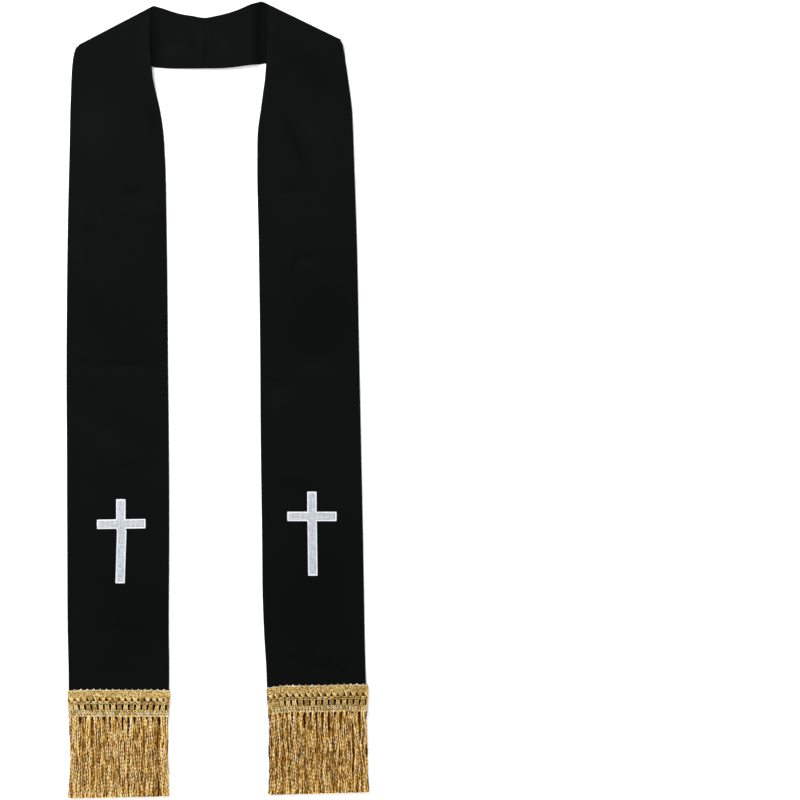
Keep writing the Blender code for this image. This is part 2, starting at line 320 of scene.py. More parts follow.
RIGHT_PANEL = [
    Section(213.2, -462.0, 73.0, -462.0),
    Section(214.9, -443.0, 72.2, -443.0),
    Section(214.9, -424.0, 71.4, -424.0),
    Section(214.0, -388.0, 70.0, -388.0),
    Section(213.0, -349.0, 67.5, -349.0),
    Section(212.0, -290.5, 65.0, -290.5),
    Section(210.5, -204.0, 64.0, -204.0),
    Section(207.5, -58.5, 62.0, -58.5),
    Section(204.5, 86.5, 61.0, 86.5),
    Section(201.5, 231.5, 59.0, 231.5),
    Section(197.5, 347.5, 57.0, 347.5),
    Section(196.0, 391.0, 58.0, 391.0),
    Section(194.5, 420.0, 62.0, 420.0),
    Section(191.5, 446.0, 65.5, 446.0),
    Section(189.0, 463.5, 68.0, 463.5),
    Section(186.5, 481.0, 69.5, 481.0),
    Section(185.0, 490.0, 71.0, 499.5),
    Section(184.0, 499.0, 72.5, 518.5),
    Section(182.5, 507.0, 72.5, 537.0),
    Section(181.0, 514.5, 72.0, 556.0),
]
RIGHT_FOLD = Fold(178.5, 522.0, 62.0, 578.5, 12.0)
RIGHT_NECK = [
    Section(161.0, 520.5, 55.0, 575.0),
    Section(133.5, 511.0, 45.0, 571.5),
    Section(104.5, 501.0, 35.0, 567.0),
    Section(74.0, 488.5, 23.5, 562.5),
    Section(40.5, 483.5, 11.5, 559.0),
    Section(10.0, 480.0, -4.0, 555.5),
    Section(SEAM_X + SEAM_GAP, 479.5, SEAM_X + SEAM_GAP, 553.0),
]
EDGES = {
    "left": Edge(3.6, 0.89, 0.98, 0.0),
    "right": Edge(1.8, 0.70, 0.94, 2.6),
}
# The neck section whose lower edge lies under the panel's inner edge
NECK_SECTION_AT_PANEL = 3

HALVES = {
    "left": (LEFT_PANEL, LEFT_FOLD, LEFT_NECK),
    "right": (RIGHT_PANEL, RIGHT_FOLD, RIGHT_NECK),
}
FRINGES = {
    "left": Fringe(-217.5, -421.0, 148.0, 0.0, 157.0, 0.8, 2.2, 2.9, 16.0, 15, 1, 11.5),
    "right": Fringe(70.5, -417.5, 147.0, 1.4, 155.7, -1.0, 4.6, 0.5, 26.0, 14, 0, 13.0),
}
# How far up each heading lies off its straight line, at shares of its width
HEADING_BOWS = {
    "left": [(0.0, -0.9), (0.1, -0.3), (0.35, 0.0), (0.7, -0.3), (1.0, -0.5)],
    "right": [(0.0, -1.0), (0.08, 0.6), (0.18, 1.8), (0.5, 1.1), (0.85, 1.2), (1.0, 0.3)],
}
CROSSES = {
    "left": Cross(-140.5, -144.5, 1.4, -2.6, 1.0, 1.0),
    "right": Cross(136.5, -133.5, 0.3, 1.0, 0.0, 0.0),
}

# Soft ridges, and hollows where the height is below nothing, of each panel and of the neck band
PANEL_CREASES = {
    "left": [
        Crease(-133.0, 470.0, 0.0, 34.0, 22.0, -0.6),
        Crease(-96.0, 415.0, -75.0, 24.0, 7.0, -1.3),
        Crease(-176.0, 380.0, -60.0, 60.0, 30.0, 0.4),
        Crease(-127.0, 304.0, 10.0, 13.0, 6.0, -1.2),
        Crease(-105.0, 277.0, 0.0, 30.0, 7.0, 0.9),
        Crease(-108.0, 261.0, 0.0, 32.0, 8.0, -0.5),
        Crease(-196.0, 272.0, -62.0, 20.0, 5.0, 1.1),
        Crease(-190.0, 250.0, -40.0, 9.0, 6.0, -1.2),
        Crease(-166.0, 257.0, -51.0, 18.0, 4.5, 1.5),
        Crease(-151.0, 240.0, -50.0, 15.0, 4.5, -1.2),
        Crease(-133.0, 228.0, -34.0, 18.0, 5.0, 1.2),
        Crease(-205.0, 218.0, -60.0, 18.0, 7.0, 0.8),
        Crease(-140.0, 140.0, 90.0, 110.0, 80.0, -0.7),
        Crease(-140.0, -310.0, 90.0, 120.0, 70.0, -0.5),
        Crease(-147.0, 54.0, -2.0, 42.0, 5.5, -1.2),
        Crease(-138.0, 38.0, 0.0, 38.0, 7.0, 0.7),
        Crease(-166.0, -55.0, -30.0, 50.0, 12.0, 1.0),
        Crease(-124.0, -93.0, 4.0, 20.0, 8.0, -1.2),
        Crease(-133.0, -330.0, -6.0, 25.0, 9.0, -1.1),
        Crease(-192.0, -335.0, -70.0, 34.0, 14.0, 0.7),
    ],
    "right": [
        Crease(135.0, 472.0, -50.0, 42.0, 20.0, -0.9),
        Crease(128.0, 408.0, -45.0, 52.0, 15.0, 0.7),
        Crease(114.0, 368.0, -64.0, 36.0, 5.5, -1.9),
        Crease(150.0, 372.0, -50.0, 38.0, 14.0, 0.7),
        Crease(107.0, 308.0, 0.0, 13.0, 7.0, -0.9),
        Crease(100.0, 295.0, 0.0, 40.0, 4.0, 0.5),
        Crease(130.0, 211.0, 0.0, 21.0, 5.0, -1.3),
        Crease(110.0, 198.0, 70.0, 12.0, 5.0, -1.1),
        Crease(130.0, 196.0, 4.0, 16.0, 6.0, 0.8),
        Crease(140.0, 118.0, 90.0, 62.0, 52.0, -1.6),
        Crease(146.0, -300.0, 90.0, 135.0, 70.0, -1.0),
        Crease(146.0, 47.0, -8.0, 32.0, 9.0, 1.1),
        Crease(84.0, 28.0, -12.0, 13.0, 4.5, -1.5),
        Crease(92.0, 2.0, 60.0, 20.0, 12.0, 0.7),
        Crease(100.0, -122.0, 0.0, 26.0, 10.0, -0.7),
        Crease(114.0, -371.0, 6.0, 22.0, 5.0, -1.5),
        Crease(166.0, -389.0, -20.0, 28.0, 6.0, -1.5),
        Crease(172.0, -360.0, 0.0, 24.0, 8.0, 0.8),
    ],
}
NECK_CREASES = [
    Crease(-90.0, 515.0, 90.0, 60.0, 8.0, -2.6),
    Crease(63.0, 520.0, 90.0, 60.0, 9.0, -3.8),
    Crease(-37.0, 514.0, -62.0, 17.0, 5.0, -1.6),
    Crease(-28.0, 536.0, -50.0, 14.0, 5.0, 0.9),
    Crease(-60.0, 505.0, 24.0, 22.0, 7.0, 0.7),
    Crease(SEAM_X, 500.0, 90.0, 11.0, 2.2, -1.4),
    Crease(10.0, 514.0, -40.0, 18.0, 7.0, 0.7),
]
# The twill's tones, and how far its ribs, its patches and a ridge of one millimetre go between them; the
# ridge's share is painted light and shade, ridges painted lighter and hollows painted darker
TWILL_TONES = [(0.0, (0.0017, 0.0022, 0.0020)), (1.0, (0.0052, 0.0062, 0.0057))]
RIB_LIGHTER = 0.35
PATCH_LIGHTER = 0.25
PAINTED_CREASE_LIGHT_AND_SHADE = 0.16
# The change of the gold's tone a metre to the right: painted shade, the right-hand fringes painted a little
# darker, as if less light fell on them
PAINTED_SHADE_TO_RIGHT = -0.11
# The colour of the painted glints, bright flecks that stand in for highlights on the foil
PAINTED_GLINT_COLOUR = (1.0, 0.87, 0.60)
GOLDS = {
    # A dark gold for the heading's plate, painted shade that stands for the shade under and between its
    # threads
    "ground": Gold(
        (0.04, 0.017, 0.003), (0.09, 0.043, 0.008), (0.22, 0.115, 0.028),
        0.05, 340.0, 1.0, 0.0, 0.17, 0.0,
    ),
    "heading": Gold(
        (0.32, 0.175, 0.035), (0.73, 0.475, 0.15), (0.97, 0.76, 0.34),
        0.16, 520.0, 1.0, 0.32, 0.13, 0.2,
    ),
    "bright": Gold(
        (0.50, 0.31, 0.08), (0.97, 0.72, 0.30), (1.0, 0.90, 0.55),
        0.16, 520.0, 1.0, 0.42, 0.13, 0.15,
    ),
    "skirt": Gold(
        (0.25, 0.10, 0.007), (0.72, 0.42, 0.10), (1.0, 0.78, 0.37),
        0.29, 520.0, 0.16, 0.24, 0.14, 0.25,
    ),
    # The skirt's gold painted darker for its middle layer, painted shade where it lies under the top
    # strands
    "shaded": Gold(
        (0.11, 0.036, 0.002), (0.36, 0.165, 0.024), (0.68, 0.40, 0.10),
        0.10, 520.0, 0.16, 0.24, 0.15, 0.1,
    ),
    # Nearly black brown gold for the lowest layers, painted deep shade between the strands
    "deep": Gold(
        (0.02, 0.007, 0.001), (0.055, 0.019, 0.002), (0.14, 0.06, 0.008),
        0.0, 340.0, 0.24, 0.2, 0.15, 0.0,
    ),
}
# The darker and the lighter tone of each white thread
SATINS = {
    "border": ((0.65, 0.67, 0.70), (0.81, 0.82, 0.84)),
    "fill": ((0.38, 0.40, 0.44), (0.62, 0.645, 0.695)),
}

LIGHTS = {
    "key": Light(-700.0, 1050.0, 1350.0, 600.0, 36.0),
    "fill": Light(-200.0, -900.0, 2000.0, 1600.0, 18.0),
}
SKY_STRENGTH = 0.55
FLOOR_COLOUR = (0.96, 0.96, 0.96)
FLOOR_GLOW = 0.16


def smooth_step(t):
    t = min(max(t, 0.0), 1.0)
    return t * t * (3.0 - 2.0 * t)


# Node trees

def set_inputs(tree, node, inputs):
    """Give each named input its value, or a link where the value is another node's output."""
    for key, value in inputs.items():
        if isinstance(value, bpy.types.NodeSocket):
            tree.links.new(value, node.inputs[key])
        else:
            node.inputs[key].default_value = value


def add_node(tree, kind, inputs=None, **settings):
    node = tree.nodes.new(kind)
    for name, value in settings.items():
        setattr(node, name, value)
    set_inputs(tree, node, inputs or {})
    return node


def calculate(tree, operation, *values):
    """The result of one arithmetic step."""
    return add_node(tree, "ShaderNodeMath", dict(enumerate(values)), operation=operation).outputs[0]


def product(tree, first, *others):
    """Two or more numbers multiplied."""
    for other in others:
        first = calculate(tree, "MULTIPLY", first, other)
    return first


def map_range(tree, value, start, end, low, high, interpolation="LINEAR"):
    """From low to high, as the value goes from start to end."""
    inputs = {0: value, 1: start, 2: end, 3: low, 4: high}
    return add_node(tree, "ShaderNodeMapRange", inputs, interpolation_type=interpolation).outputs[0]


def vector(tree, x, y, z):
    return add_node(tree, "ShaderNodeCombineXYZ", {0: x, 1: y, 2: z}).outputs[0]


def scale_vector(tree, value, factor):
    return add_node(tree, "ShaderNodeVectorMath", {0: value, 3: factor}, operation="SCALE").outputs[0]


def attribute(tree, name):
    return add_node(tree, "ShaderNodeAttribute", attribute_name=name).outputs["Fac"]


def noise_value(tree, place, scale, detail, roughness=0.5):
    inputs = {"Vector": place, "Scale": scale, "Detail": detail, "Roughness": roughness}
    return add_node(tree, "ShaderNodeTexNoise", inputs).outputs["Fac"]


def diagonal_bands(tree, place, scale, distortion, detail_scale=1.0):
    return add_node(
        tree,
        "ShaderNodeTexWave",
        {"Vector": place, "Scale": scale, "Distortion": distortion, "Detail Scale": detail_scale},
        wave_type="BANDS",
        bands_direction="DIAGONAL",
    ).outputs["Fac"]


def bump(tree, height, distance, strength):
    """A bump node, whose own normal input may take the relief under it."""
    inputs = {"Height": height, "Distance": distance, "Strength": strength}
    return add_node(tree, "ShaderNodeBump", inputs)


def stretch_along(tree, place, share):
    """Places drawn together along Y, so that a pattern on them is longer that way."""
    return add_node(tree, "ShaderNodeMapping", {"Vector": place, "Scale": (1.0, share, 1.0)}).outputs[0]


def ramp(tree, factor, stops):
    """A colour ramp with (place, colour) stops."""
    node = tree.nodes.new("ShaderNodeValToRGB")
    elements = node.color_ramp.elements
    while len(elements) < len(stops):
        elements.new(0.5)
    for element, (place, colour) in zip(elements, stops):
        element.position = place
        element.color = (*colour, 1.0)
    tree.links.new(factor, node.inputs[0])
    return node.outputs[0]


# Materials

def new_material(name):
    material = bpy.data.materials.new(name)
    material.use_nodes = True
    return material, material.node_tree, material.node_tree.nodes["Principled BSDF"]


def make_twill():
    """Matt black twill with fine diagonal ribs, a seam allowance pressed inside its edges, and painted
    light on its ridges and painted shade in its hollows.
    """
    material, tree, shader = new_material("black_twill")
    place = add_node(tree, "ShaderNodeUVMap", uv_map="cloth_distance").outputs[0]
    ribs = diagonal_bands(tree, place, scale=480.0, distortion=1.2, detail_scale=0.6)
    patches = noise_value(tree, place, scale=9.0, detail=2.0)
    tone = product(tree, ribs, RIB_LIGHTER)
    tone = calculate(tree, "MULTIPLY_ADD", patches, PATCH_LIGHTER, tone)
    # Painted light and shade: the crease height lightens the twill on ridges and darkens it in hollows
    tone = calculate(tree, "MULTIPLY_ADD", attribute(tree, "crease_relief"), PAINTED_CREASE_LIGHT_AND_SHADE, tone)
    allowance = map_range(
        tree,
        attribute(tree, "edge_distance"),
        SEAM_ALLOWANCE * MM,
        (SEAM_ALLOWANCE + SEAM_ALLOWANCE_EASE) * MM,
        1.0,
        0.0,
        "SMOOTHSTEP",
    )
    pressed = bump(tree, allowance, distance=0.00022, strength=1.0)
    woven = bump(tree, ribs, distance=0.00006, strength=0.7)
    set_inputs(tree, woven, {"Normal": pressed.outputs[0]})
    finish = {
        "Base Color": ramp(tree, tone, TWILL_TONES),
        "Normal": woven.outputs[0],
        "Roughness": 0.88,
        "Specular IOR Level": 0.03,
        "Sheen Weight": 0.006,
        "Sheen Roughness": 0.5,
    }
    set_inputs(tree, shader, finish)
    return material


def make_gold(name, gold):
    """Metallic thread: darker and lighter lengths, painted glints where the foil would catch the light, and
    painted shade towards the right.
    """
    material, tree, shader = new_material(name)
    place = add_node(tree, "ShaderNodeTexCoord").outputs["Object"]
    aside = add_node(tree, "ShaderNodeSeparateXYZ", {0: place}).outputs[0]
    lengthwise = stretch_along(tree, place, gold.stretch)
    lengths = noise_value(tree, lengthwise, scale=gold.grain, detail=1.5, roughness=0.6)
    mottle = calculate(tree, "MULTIPLY_ADD", attribute(tree, "thread_tone"), gold.tone_share, lengths)
    # Painted shade: the gold darker towards the right
    mottle = calculate(tree, "MULTIPLY_ADD", aside, PAINTED_SHADE_TO_RIGHT, mottle)
    middle = 0.5 + gold.tone_share / 2
    tones = [
        (middle - gold.softness, gold.shade),
        (middle, gold.body),
        (middle + gold.softness, gold.light),
    ]
    # Painted glints: bright flecks where the foil would catch the light
    glint_noise = noise_value(tree, stretch_along(tree, place, gold.stretch / 2), scale=620.0, detail=0.0)
    painted_glint = map_range(tree, glint_noise, 1.0 - gold.painted_glint_share, 1.04 - gold.painted_glint_share, 0.0, 1.0)
    glint_inputs = {0: painted_glint, 6: ramp(tree, mottle, tones), 7: (*PAINTED_GLINT_COLOUR, 1.0)}
    twist = diagonal_bands(tree, place, scale=650.0, distortion=2.0)
    finish = {
        "Base Color": add_node(tree, "ShaderNodeMix", glint_inputs, data_type="RGBA").outputs[2],
        "Normal": bump(tree, twist, distance=0.00012, strength=0.8).outputs[0],
        "Metallic": gold.metallic,
        "Roughness": 0.42 if gold.metallic else 0.8,
        "Specular IOR Level": 0.2 if gold.metallic else 0.0,
    }
    set_inputs(tree, shader, finish)
    return material


def make_satin(name, shade, light):
    """White embroidery thread with a soft gloss."""
    material, tree, shader = new_material(name)
    place = add_node(tree, "ShaderNodeTexCoord").outputs["Object"]
    mottle = product(tree, noise_value(tree, place, scale=380.0, detail=2.0), 0.5)
    blend = calculate(tree, "MULTIPLY_ADD", attribute(tree, "thread_tone"), 0.5, mottle)
    colour = ramp(tree, blend, [(0.25, shade), (0.75, light)])
    set_inputs(tree, shader, {"Base Color": colour, "Roughness": 0.5, "Sheen Weight": 0.05})
    return material


def make_materials():
    """Every finish of the cloth, the threads and the stitches, by its short name."""
    materials = {"twill": make_twill()}
    for name, gold in GOLDS.items():
        materials[name] = make_gold(f"gold_{name}", gold)
    for name, (shade, light) in SATINS.items():
        materials[name] = make_satin(f"white_{name}", shade, light)
    return materials


# Repeated pieces

def make_tree(name, inputs):
    """An empty geometry tree, its named inputs as outputs of one node, and where its result goes."""
    tree = bpy.data.node_groups.new(name, "GeometryNodeTree")
    tree.interface.new_socket("Geometry", in_out="OUTPUT", socket_type="NodeSocketGeometry")
    for kind, labels in inputs.items():
        for label in labels:
            tree.interface.new_socket(label, in_out="INPUT", socket_type=f"NodeSocket{kind}")
    given = tree.nodes.new("NodeGroupInput").outputs
    result = tree.nodes.new("NodeGroupOutput").inputs[0]
    return tree, given, result


def random_number(tree, low, high, seed, salt):
    """A random number for each element, from the tree's seed and a salt of its own."""
    salted = calculate(tree, "ADD", seed, salt)
    node = add_node(tree, "FunctionNodeRandomValue", {2: low, 3: high, 8: salted}, data_type="FLOAT")
    return node.outputs[1]


def spread(tree, size, seed, salt):
    """A random number between minus size and size."""
    return random_number(tree, product(tree, size, -1.0), size, seed, salt)


def make_real(tree, instances, seed):
    """Instances made real geometry, each with a random tone."""
    tone = random_number(tree, 0.0, 1.0, seed, 4.0)
    toned = add_node(
        tree,
        "GeometryNodeStoreNamedAttribute",
        {"Geometry": instances, "Name": "thread_tone", "Value": tone},
        data_type="FLOAT",
        domain="INSTANCE",
    ).outputs[0]
    return add_node(tree, "GeometryNodeRealizeInstances", {"Geometry": toned}).outputs[0]


def set_material(tree, geometry, material):
    inputs = {"Geometry": geometry, "Material": material}
    return add_node(tree, "GeometryNodeSetMaterial", inputs).outputs[0]


def instance_units(tree, given, points, rotation):
    """Put the unit on each point, with its random size and tone, and make it real geometry."""
    smallest = calculate(tree, "SUBTRACT", 1.0, given["Size Jitter"])
    largest = calculate(tree, "ADD", 1.0, given["Size Jitter"])
    size = random_number(tree, smallest, largest, given["Seed"], 3.0)
    unit = add_node(tree, "GeometryNodeObjectInfo", {"Object": given["Unit"]}).outputs["Geometry"]
    placed = add_node(
        tree,
        "GeometryNodeInstanceOnPoints",
        {"Points": points, "Instance": unit, "Rotation": rotation, "Scale": vector(tree, size, size, size)},
    ).outputs[0]
    return set_material(tree, make_real(tree, placed, given["Seed"]), given["Material"])


def make_field_tree():
    """A unit repeated in rows and columns, each a little off its place."""
    inputs = {
        "Object": ["Unit"],
        "Int": ["Columns", "Rows", "Seed"],
        "Float": ["Column Pitch", "Row Pitch", "Place Jitter", "Turn Jitter", "Size Jitter"],
        "Material": ["Material"],
    }
    tree, given, result = make_tree("units_in_rows", inputs)
    count = product(tree, given["Columns"], given["Rows"])
    line = add_node(tree, "GeometryNodeMeshLine", {"Count": count}).outputs[0]
    index = add_node(tree, "GeometryNodeInputIndex").outputs[0]
    row = calculate(tree, "FLOOR", calculate(tree, "DIVIDE", index, given["Columns"]))
    column = calculate(tree, "SUBTRACT", index, product(tree, row, given["Columns"]))
    x = product(tree, column, given["Column Pitch"])
    y = product(tree, row, given["Row Pitch"])
    aside, along = [spread(tree, given["Place Jitter"], given["Seed"], salt) for salt in (0.0, 1.0)]
    place = vector(tree, calculate(tree, "ADD", x, aside), calculate(tree, "ADD", y, along), 0.0)
    points = add_node(tree, "GeometryNodeSetPosition", {"Geometry": line, "Position": place}).outputs[0]
    rotation = vector(tree, 0.0, 0.0, spread(tree, given["Turn Jitter"], given["Seed"], 2.0))
    tree.links.new(instance_units(tree, given, points, rotation), result)
    return tree


def make_path_tree():
    """A unit repeated along a path, turned to run across it."""
    inputs = {
        "Object": ["Path", "Unit"],
        "Float": ["Pitch", "Turn Jitter", "Size Jitter"],
        "Int": ["Seed"],
        "Material": ["Material"],
    }
    tree, given, result = make_tree("units_along_path", inputs)
    path = add_node(tree, "GeometryNodeObjectInfo", {"Object": given["Path"]}).outputs["Geometry"]
    curve = add_node(tree, "GeometryNodeMeshToCurve", {"Mesh": path}).outputs[0]
    spaced = add_node(
        tree, "GeometryNodeCurveToPoints", {"Curve": curve, "Length": given["Pitch"]}, mode="LENGTH"
    ).outputs
    aligned = add_node(
        tree,
        "FunctionNodeAlignRotationToVector",
        {"Vector": spaced["Tangent"]},
        axis="X",
        pivot_axis="Z",
    ).outputs[0]
    angles = vector(tree, 0.0, 0.0, spread(tree, given["Turn Jitter"], given["Seed"], 2.0))
    turn = add_node(tree, "FunctionNodeEulerToRotation", {0: angles}).outputs[0]
    rotation = add_node(
        tree, "FunctionNodeRotateRotation", {"Rotation": aligned, "Rotate By": turn}
    ).outputs[0]
    tree.links.new(instance_units(tree, given, spaced["Points"], rotation), result)
    return tree


def wander(tree, place, size, amount):
    """A smooth random shift of at most about amount, from noise of that size."""
    scaled = scale_vector(tree, place, calculate(tree, "DIVIDE", 1.0, size))
    inputs = {"Vector": scaled, "Scale": 1.0, "Detail": 0.0}
    wave = add_node(tree, "ShaderNodeTexNoise", inputs).outputs["Color"]
    centring = {0: wave, 1: (0.5, 0.5, 0.5)}
    centred = add_node(tree, "ShaderNodeVectorMath", centring, operation="SUBTRACT").outputs[0]
    return scale_vector(tree, centred, product(tree, amount, 2.0))


def strand_roots(tree, given):
    """A point for the root of each strand, a little off its even place."""
    spacing = calculate(tree, "DIVIDE", given["Width"], given["Strands"])
    line = {
        "Count": given["Strands"],
        "Start Location": vector(tree, product(tree, spacing, 0.5), 0.0, 0.0),
        "Offset": vector(tree, spacing, 0.0, 0.0),
    }
    even = add_node(tree, "GeometryNodeMeshLine", line).outputs[0]
    aside = spread(tree, product(tree, spacing, ROOT_UNEVENNESS), given["Seed"], 0.0)
    uneven = vector(tree, aside, 0.0, spread(tree, given["Depth"], given["Seed"], 1.0))
    return add_node(tree, "GeometryNodeSetPosition", {"Geometry": even, "Offset": uneven}).outputs[0]


def straight_strands(tree, given):
    """A straight line for each strand, hanging along -Y from its root."""
    line = add_node(tree, "GeometryNodeCurvePrimitiveLine", {"End": (0.0, -1.0, 0.0)}).outputs[0]
    strand = {"Curve": line, "Count": given["Points"]}
    shortest = calculate(tree, "SUBTRACT", given["Length"], given["Length Jitter"])
    length = random_number(tree, shortest, given["Length"], given["Seed"], 2.0)
    inputs = {
        "Points": strand_roots(tree, given),
        "Instance": add_node(tree, "GeometryNodeResampleCurve", strand).outputs[0],
        "Scale": vector(tree, 1.0, length, 1.0),
    }
    return make_real(
        tree, add_node(tree, "GeometryNodeInstanceOnPoints", inputs).outputs[0], given["Seed"]
    )


def group_pull(tree, given, x, down):
    """How far aside a strand is drawn to the middle of its group, which lets go of it further down."""
    from_start = calculate(tree, "SUBTRACT", x, given["Group Start"])
    group = calculate(tree, "DIVIDE", from_start, given["Group Pitch"])
    number = calculate(tree, "FLOOR", calculate(tree, "ADD", group, 0.5))
    phase = calculate(tree, "SUBTRACT", calculate(tree, "FRACT", group), 0.5)
    seeded = {"W": calculate(tree, "ADD", number, given["Group Seed"])}
    chance = add_node(tree, "ShaderNodeTexWhiteNoise", seeded, noise_dimensions="1D").outputs["Value"]
    further = product(tree, calculate(tree, "POWER", chance, 2.0), given["Gather Spread"])
    reach = calculate(tree, "ADD", given["Gather Length"], further)
    loose = map_range(tree, down, product(tree, reach, GATHER_HELD_SHARE), reach, 1.0, 0.0)
    apart = calculate(tree, "GREATER_THAN", x, given["Close To"])
    gathered = product(tree, given["Gather"], -1.0, loose, apart)
    return product(tree, phase, given["Group Pitch"], gathered)


def strand_thickness(tree, given, tone, down):
    """How thick a strand is: its own measure, fuller at its root and frayed at its end."""
    own = map_range(tree, tone, 0.0, 1.0, *STRAND_THICKNESS)
    fray_start = product(tree, given["Length"], FRAY_FROM)
    fraying = map_range(tree, down, fray_start, given["Length"], 1.0, FRAY_THICKNESS)
    fullness = map_range(tree, down, 0.0, given["Root Length"], given["Root Fullness"], 1.0)
    return product(tree, own, fraying, fullness)


def make_skirt_tree():
    """Crinkled strands side by side, gathered into groups at their roots, hanging along -Y."""
    inputs = {
        "Int": ["Strands", "Points", "Group Seed", "Seed"],
        "Float": [
            "Width", "Length", "Length Jitter", "Radius", "Flatness", "Twist",
            "Root Height", "Skirt Height", "Settle From", "Settle To", "Depth",
            "Group Pitch", "Group Start", "Close To", "Gather", "Gather Length", "Gather Spread",
            "Root Fullness", "Root Length",
            "Crimp", "Crimp Size", "Drift", "Drift Size", "Drift Stretch",
        ],
        "Material": ["Material"],
    }
    tree, given, result = make_tree("fringe_strands", inputs)
    curves = straight_strands(tree, given)
    toned = {"Name": "thread_tone"}
    tone = add_node(tree, "GeometryNodeInputNamedAttribute", toned, data_type="FLOAT").outputs[0]
    position = add_node(tree, "GeometryNodeInputPosition").outputs[0]
    x, y, _ = add_node(tree, "ShaderNodeSeparateXYZ", {0: position}).outputs
    down = product(tree, y, -1.0)
    settled = map_range(tree, down, given["Settle From"], given["Settle To"], 0.0, 1.0, "SMOOTHSTEP")
    height = map_range(tree, settled, 0.0, 1.0, given["Root Height"], given["Skirt Height"])
    own_place = vector(tree, product(tree, tone, TONE_SHIFT_X), y, product(tree, tone, TONE_SHIFT_Z))
    crimp = wander(tree, own_place, given["Crimp Size"], given["Crimp"])
    shifted = calculate(tree, "ADD", x, product(tree, given["Seed"], SEED_SHIFT))
    streaming = vector(tree, shifted, calculate(tree, "DIVIDE", y, given["Drift Stretch"]), 0.0)
    shared = wander(tree, streaming, given["Drift Size"], given["Drift"])
    moves = {0: crimp, 1: scale_vector(tree, shared, settled)}
    both = add_node(tree, "ShaderNodeVectorMath", moves, operation="ADD").outputs[0]
    moved_x, _, moved_z = add_node(tree, "ShaderNodeSeparateXYZ", {0: both}).outputs
    offset = vector(
        tree,
        calculate(tree, "ADD", moved_x, group_pull(tree, given, x, down)),
        0.0,
        calculate(tree, "ADD", product(tree, moved_z, CRIMP_HEIGHT_SHARE), height),
    )
    placed = {"Geometry": curves, "Offset": offset}
    crinkled = add_node(tree, "GeometryNodeSetPosition", placed).outputs[0]
    turns = calculate(
        tree, "ADD", calculate(tree, "DIVIDE", down, given["Twist"]), product(tree, tone, TONE_TURNS)
    )
    tilted = {"Curve": crinkled, "Tilt": product(tree, turns, 2 * math.pi)}
    circle = add_node(
        tree, "GeometryNodeCurvePrimitiveCircle", {"Resolution": STRAND_SIDES, "Radius": given["Radius"]}
    ).outputs[0]
    flattened = {"Geometry": circle, "Scale": vector(tree, 1.0, given["Flatness"], 1.0)}
    tube = {
        "Curve": add_node(tree, "GeometryNodeSetCurveTilt", tilted).outputs[0],
        "Profile Curve": add_node(tree, "GeometryNodeTransform", flattened).outputs[0],
        "Scale": strand_thickness(tree, given, tone, down),
        "Fill Caps": True,
    }
    tubes = add_node(tree, "GeometryNodeCurveToMesh", tube).outputs[0]
    smooth = add_node(tree, "GeometryNodeSetShadeSmooth", {"Geometry": tubes}).outputs[0]
    tree.links.new(set_material(tree, smooth, given["Material"]), result)
    return tree


def grow(tree, values):
    """The plain mesh that a tree makes from these named values."""
    holder = add_object("holder", bpy.data.meshes.new("holder"))
    modifier = holder.modifiers.new("grow", "NODES")
    modifier.node_group = tree
    for item in tree.interface.items_tree:
        if item.in_out == "INPUT":
            modifier[item.identifier] = values[item.name]
    depsgraph = bpy.context.evaluated_depsgraph_get()
    mesh = bpy.data.meshes.new_from_object(holder.evaluated_get(depsgraph), depsgraph=depsgraph)
    holder.modifiers.remove(modifier)
    bpy.data.objects.remove(holder, do_unlink=True)
    return mesh


def add_object(name, data):
    obj = bpy.data.objects.new(name, data)
    bpy.context.scene.collection.objects.link(obj)
    return obj


def join(name, meshes):
    """One object from several meshes, with their materials and attributes."""
    objects = [add_object(name, mesh) for mesh in meshes]
    with bpy.context.temp_override(
        active_object=objects[0],
        object=objects[0],
        selected_objects=objects,
        selected_editable_objects=objects,
    ):
        bpy.ops.object.join()
    objects[0].data.name = name
    return objects[0]


def add_thread(bm, points, radius, closed):
    """A thread of a few flat sides along a line of points."""
    count = len(points)
    rings = []
    for i, point in enumerate(points):
        before = points[i - 1] if i > 0 or closed else point
        after = points[(i + 1) % count] if i < count - 1 or closed else point
        along = (after - before).normalized()
        side = along.cross(Vector((0.0, 0.0, 1.0))).normalized()
        up = side.cross(along)
        ring = []
        for k in range(THREAD_SIDES):
            angle = 2 * math.pi * (k + 0.5) / THREAD_SIDES
            ring.append(bm.verts.new(point + (side * math.cos(angle) + up * math.sin(angle)) * radius))
        rings.append(ring)
    pairs = list(zip(rings, rings[1:]))
    if closed:
        pairs.append((rings[-1], rings[0]))
    else:
        bm.faces.new(list(reversed(rings[0])))
        bm.faces.new(rings[-1])
    for first, second in pairs:
        for k in range(THREAD_SIDES):
            n = (k + 1) % THREAD_SIDES
            bm.faces.new([first[k], first[n], second[n], second[k]])


def arc(middle_x, middle_y, radius_x, radius_y, start, end, steps, height):
    """Points on part of an ellipse, between two angles in degrees."""
    angles = [math.radians(start + (end - start) * i / steps) for i in range(steps + 1)]
    return [(middle_x + radius_x * math.cos(a), middle_y + radius_y * math.sin(a), height) for a in angles]


def make_unit(name, threads):
    """An object of one or more threads, to be repeated."""
    bm = bmesh.new()
    for points, radius, closed in threads:
        add_thread(bm, [Vector(p) * MM for p in points], radius * MM, closed)
    bmesh.ops.recalc_face_normals(bm, faces=bm.faces)
    mesh = bpy.data.meshes.new(name)
    bm.to_mesh(mesh)
    bm.free()
    mesh.shade_smooth()
    return add_object(name, mesh)


# Cloth

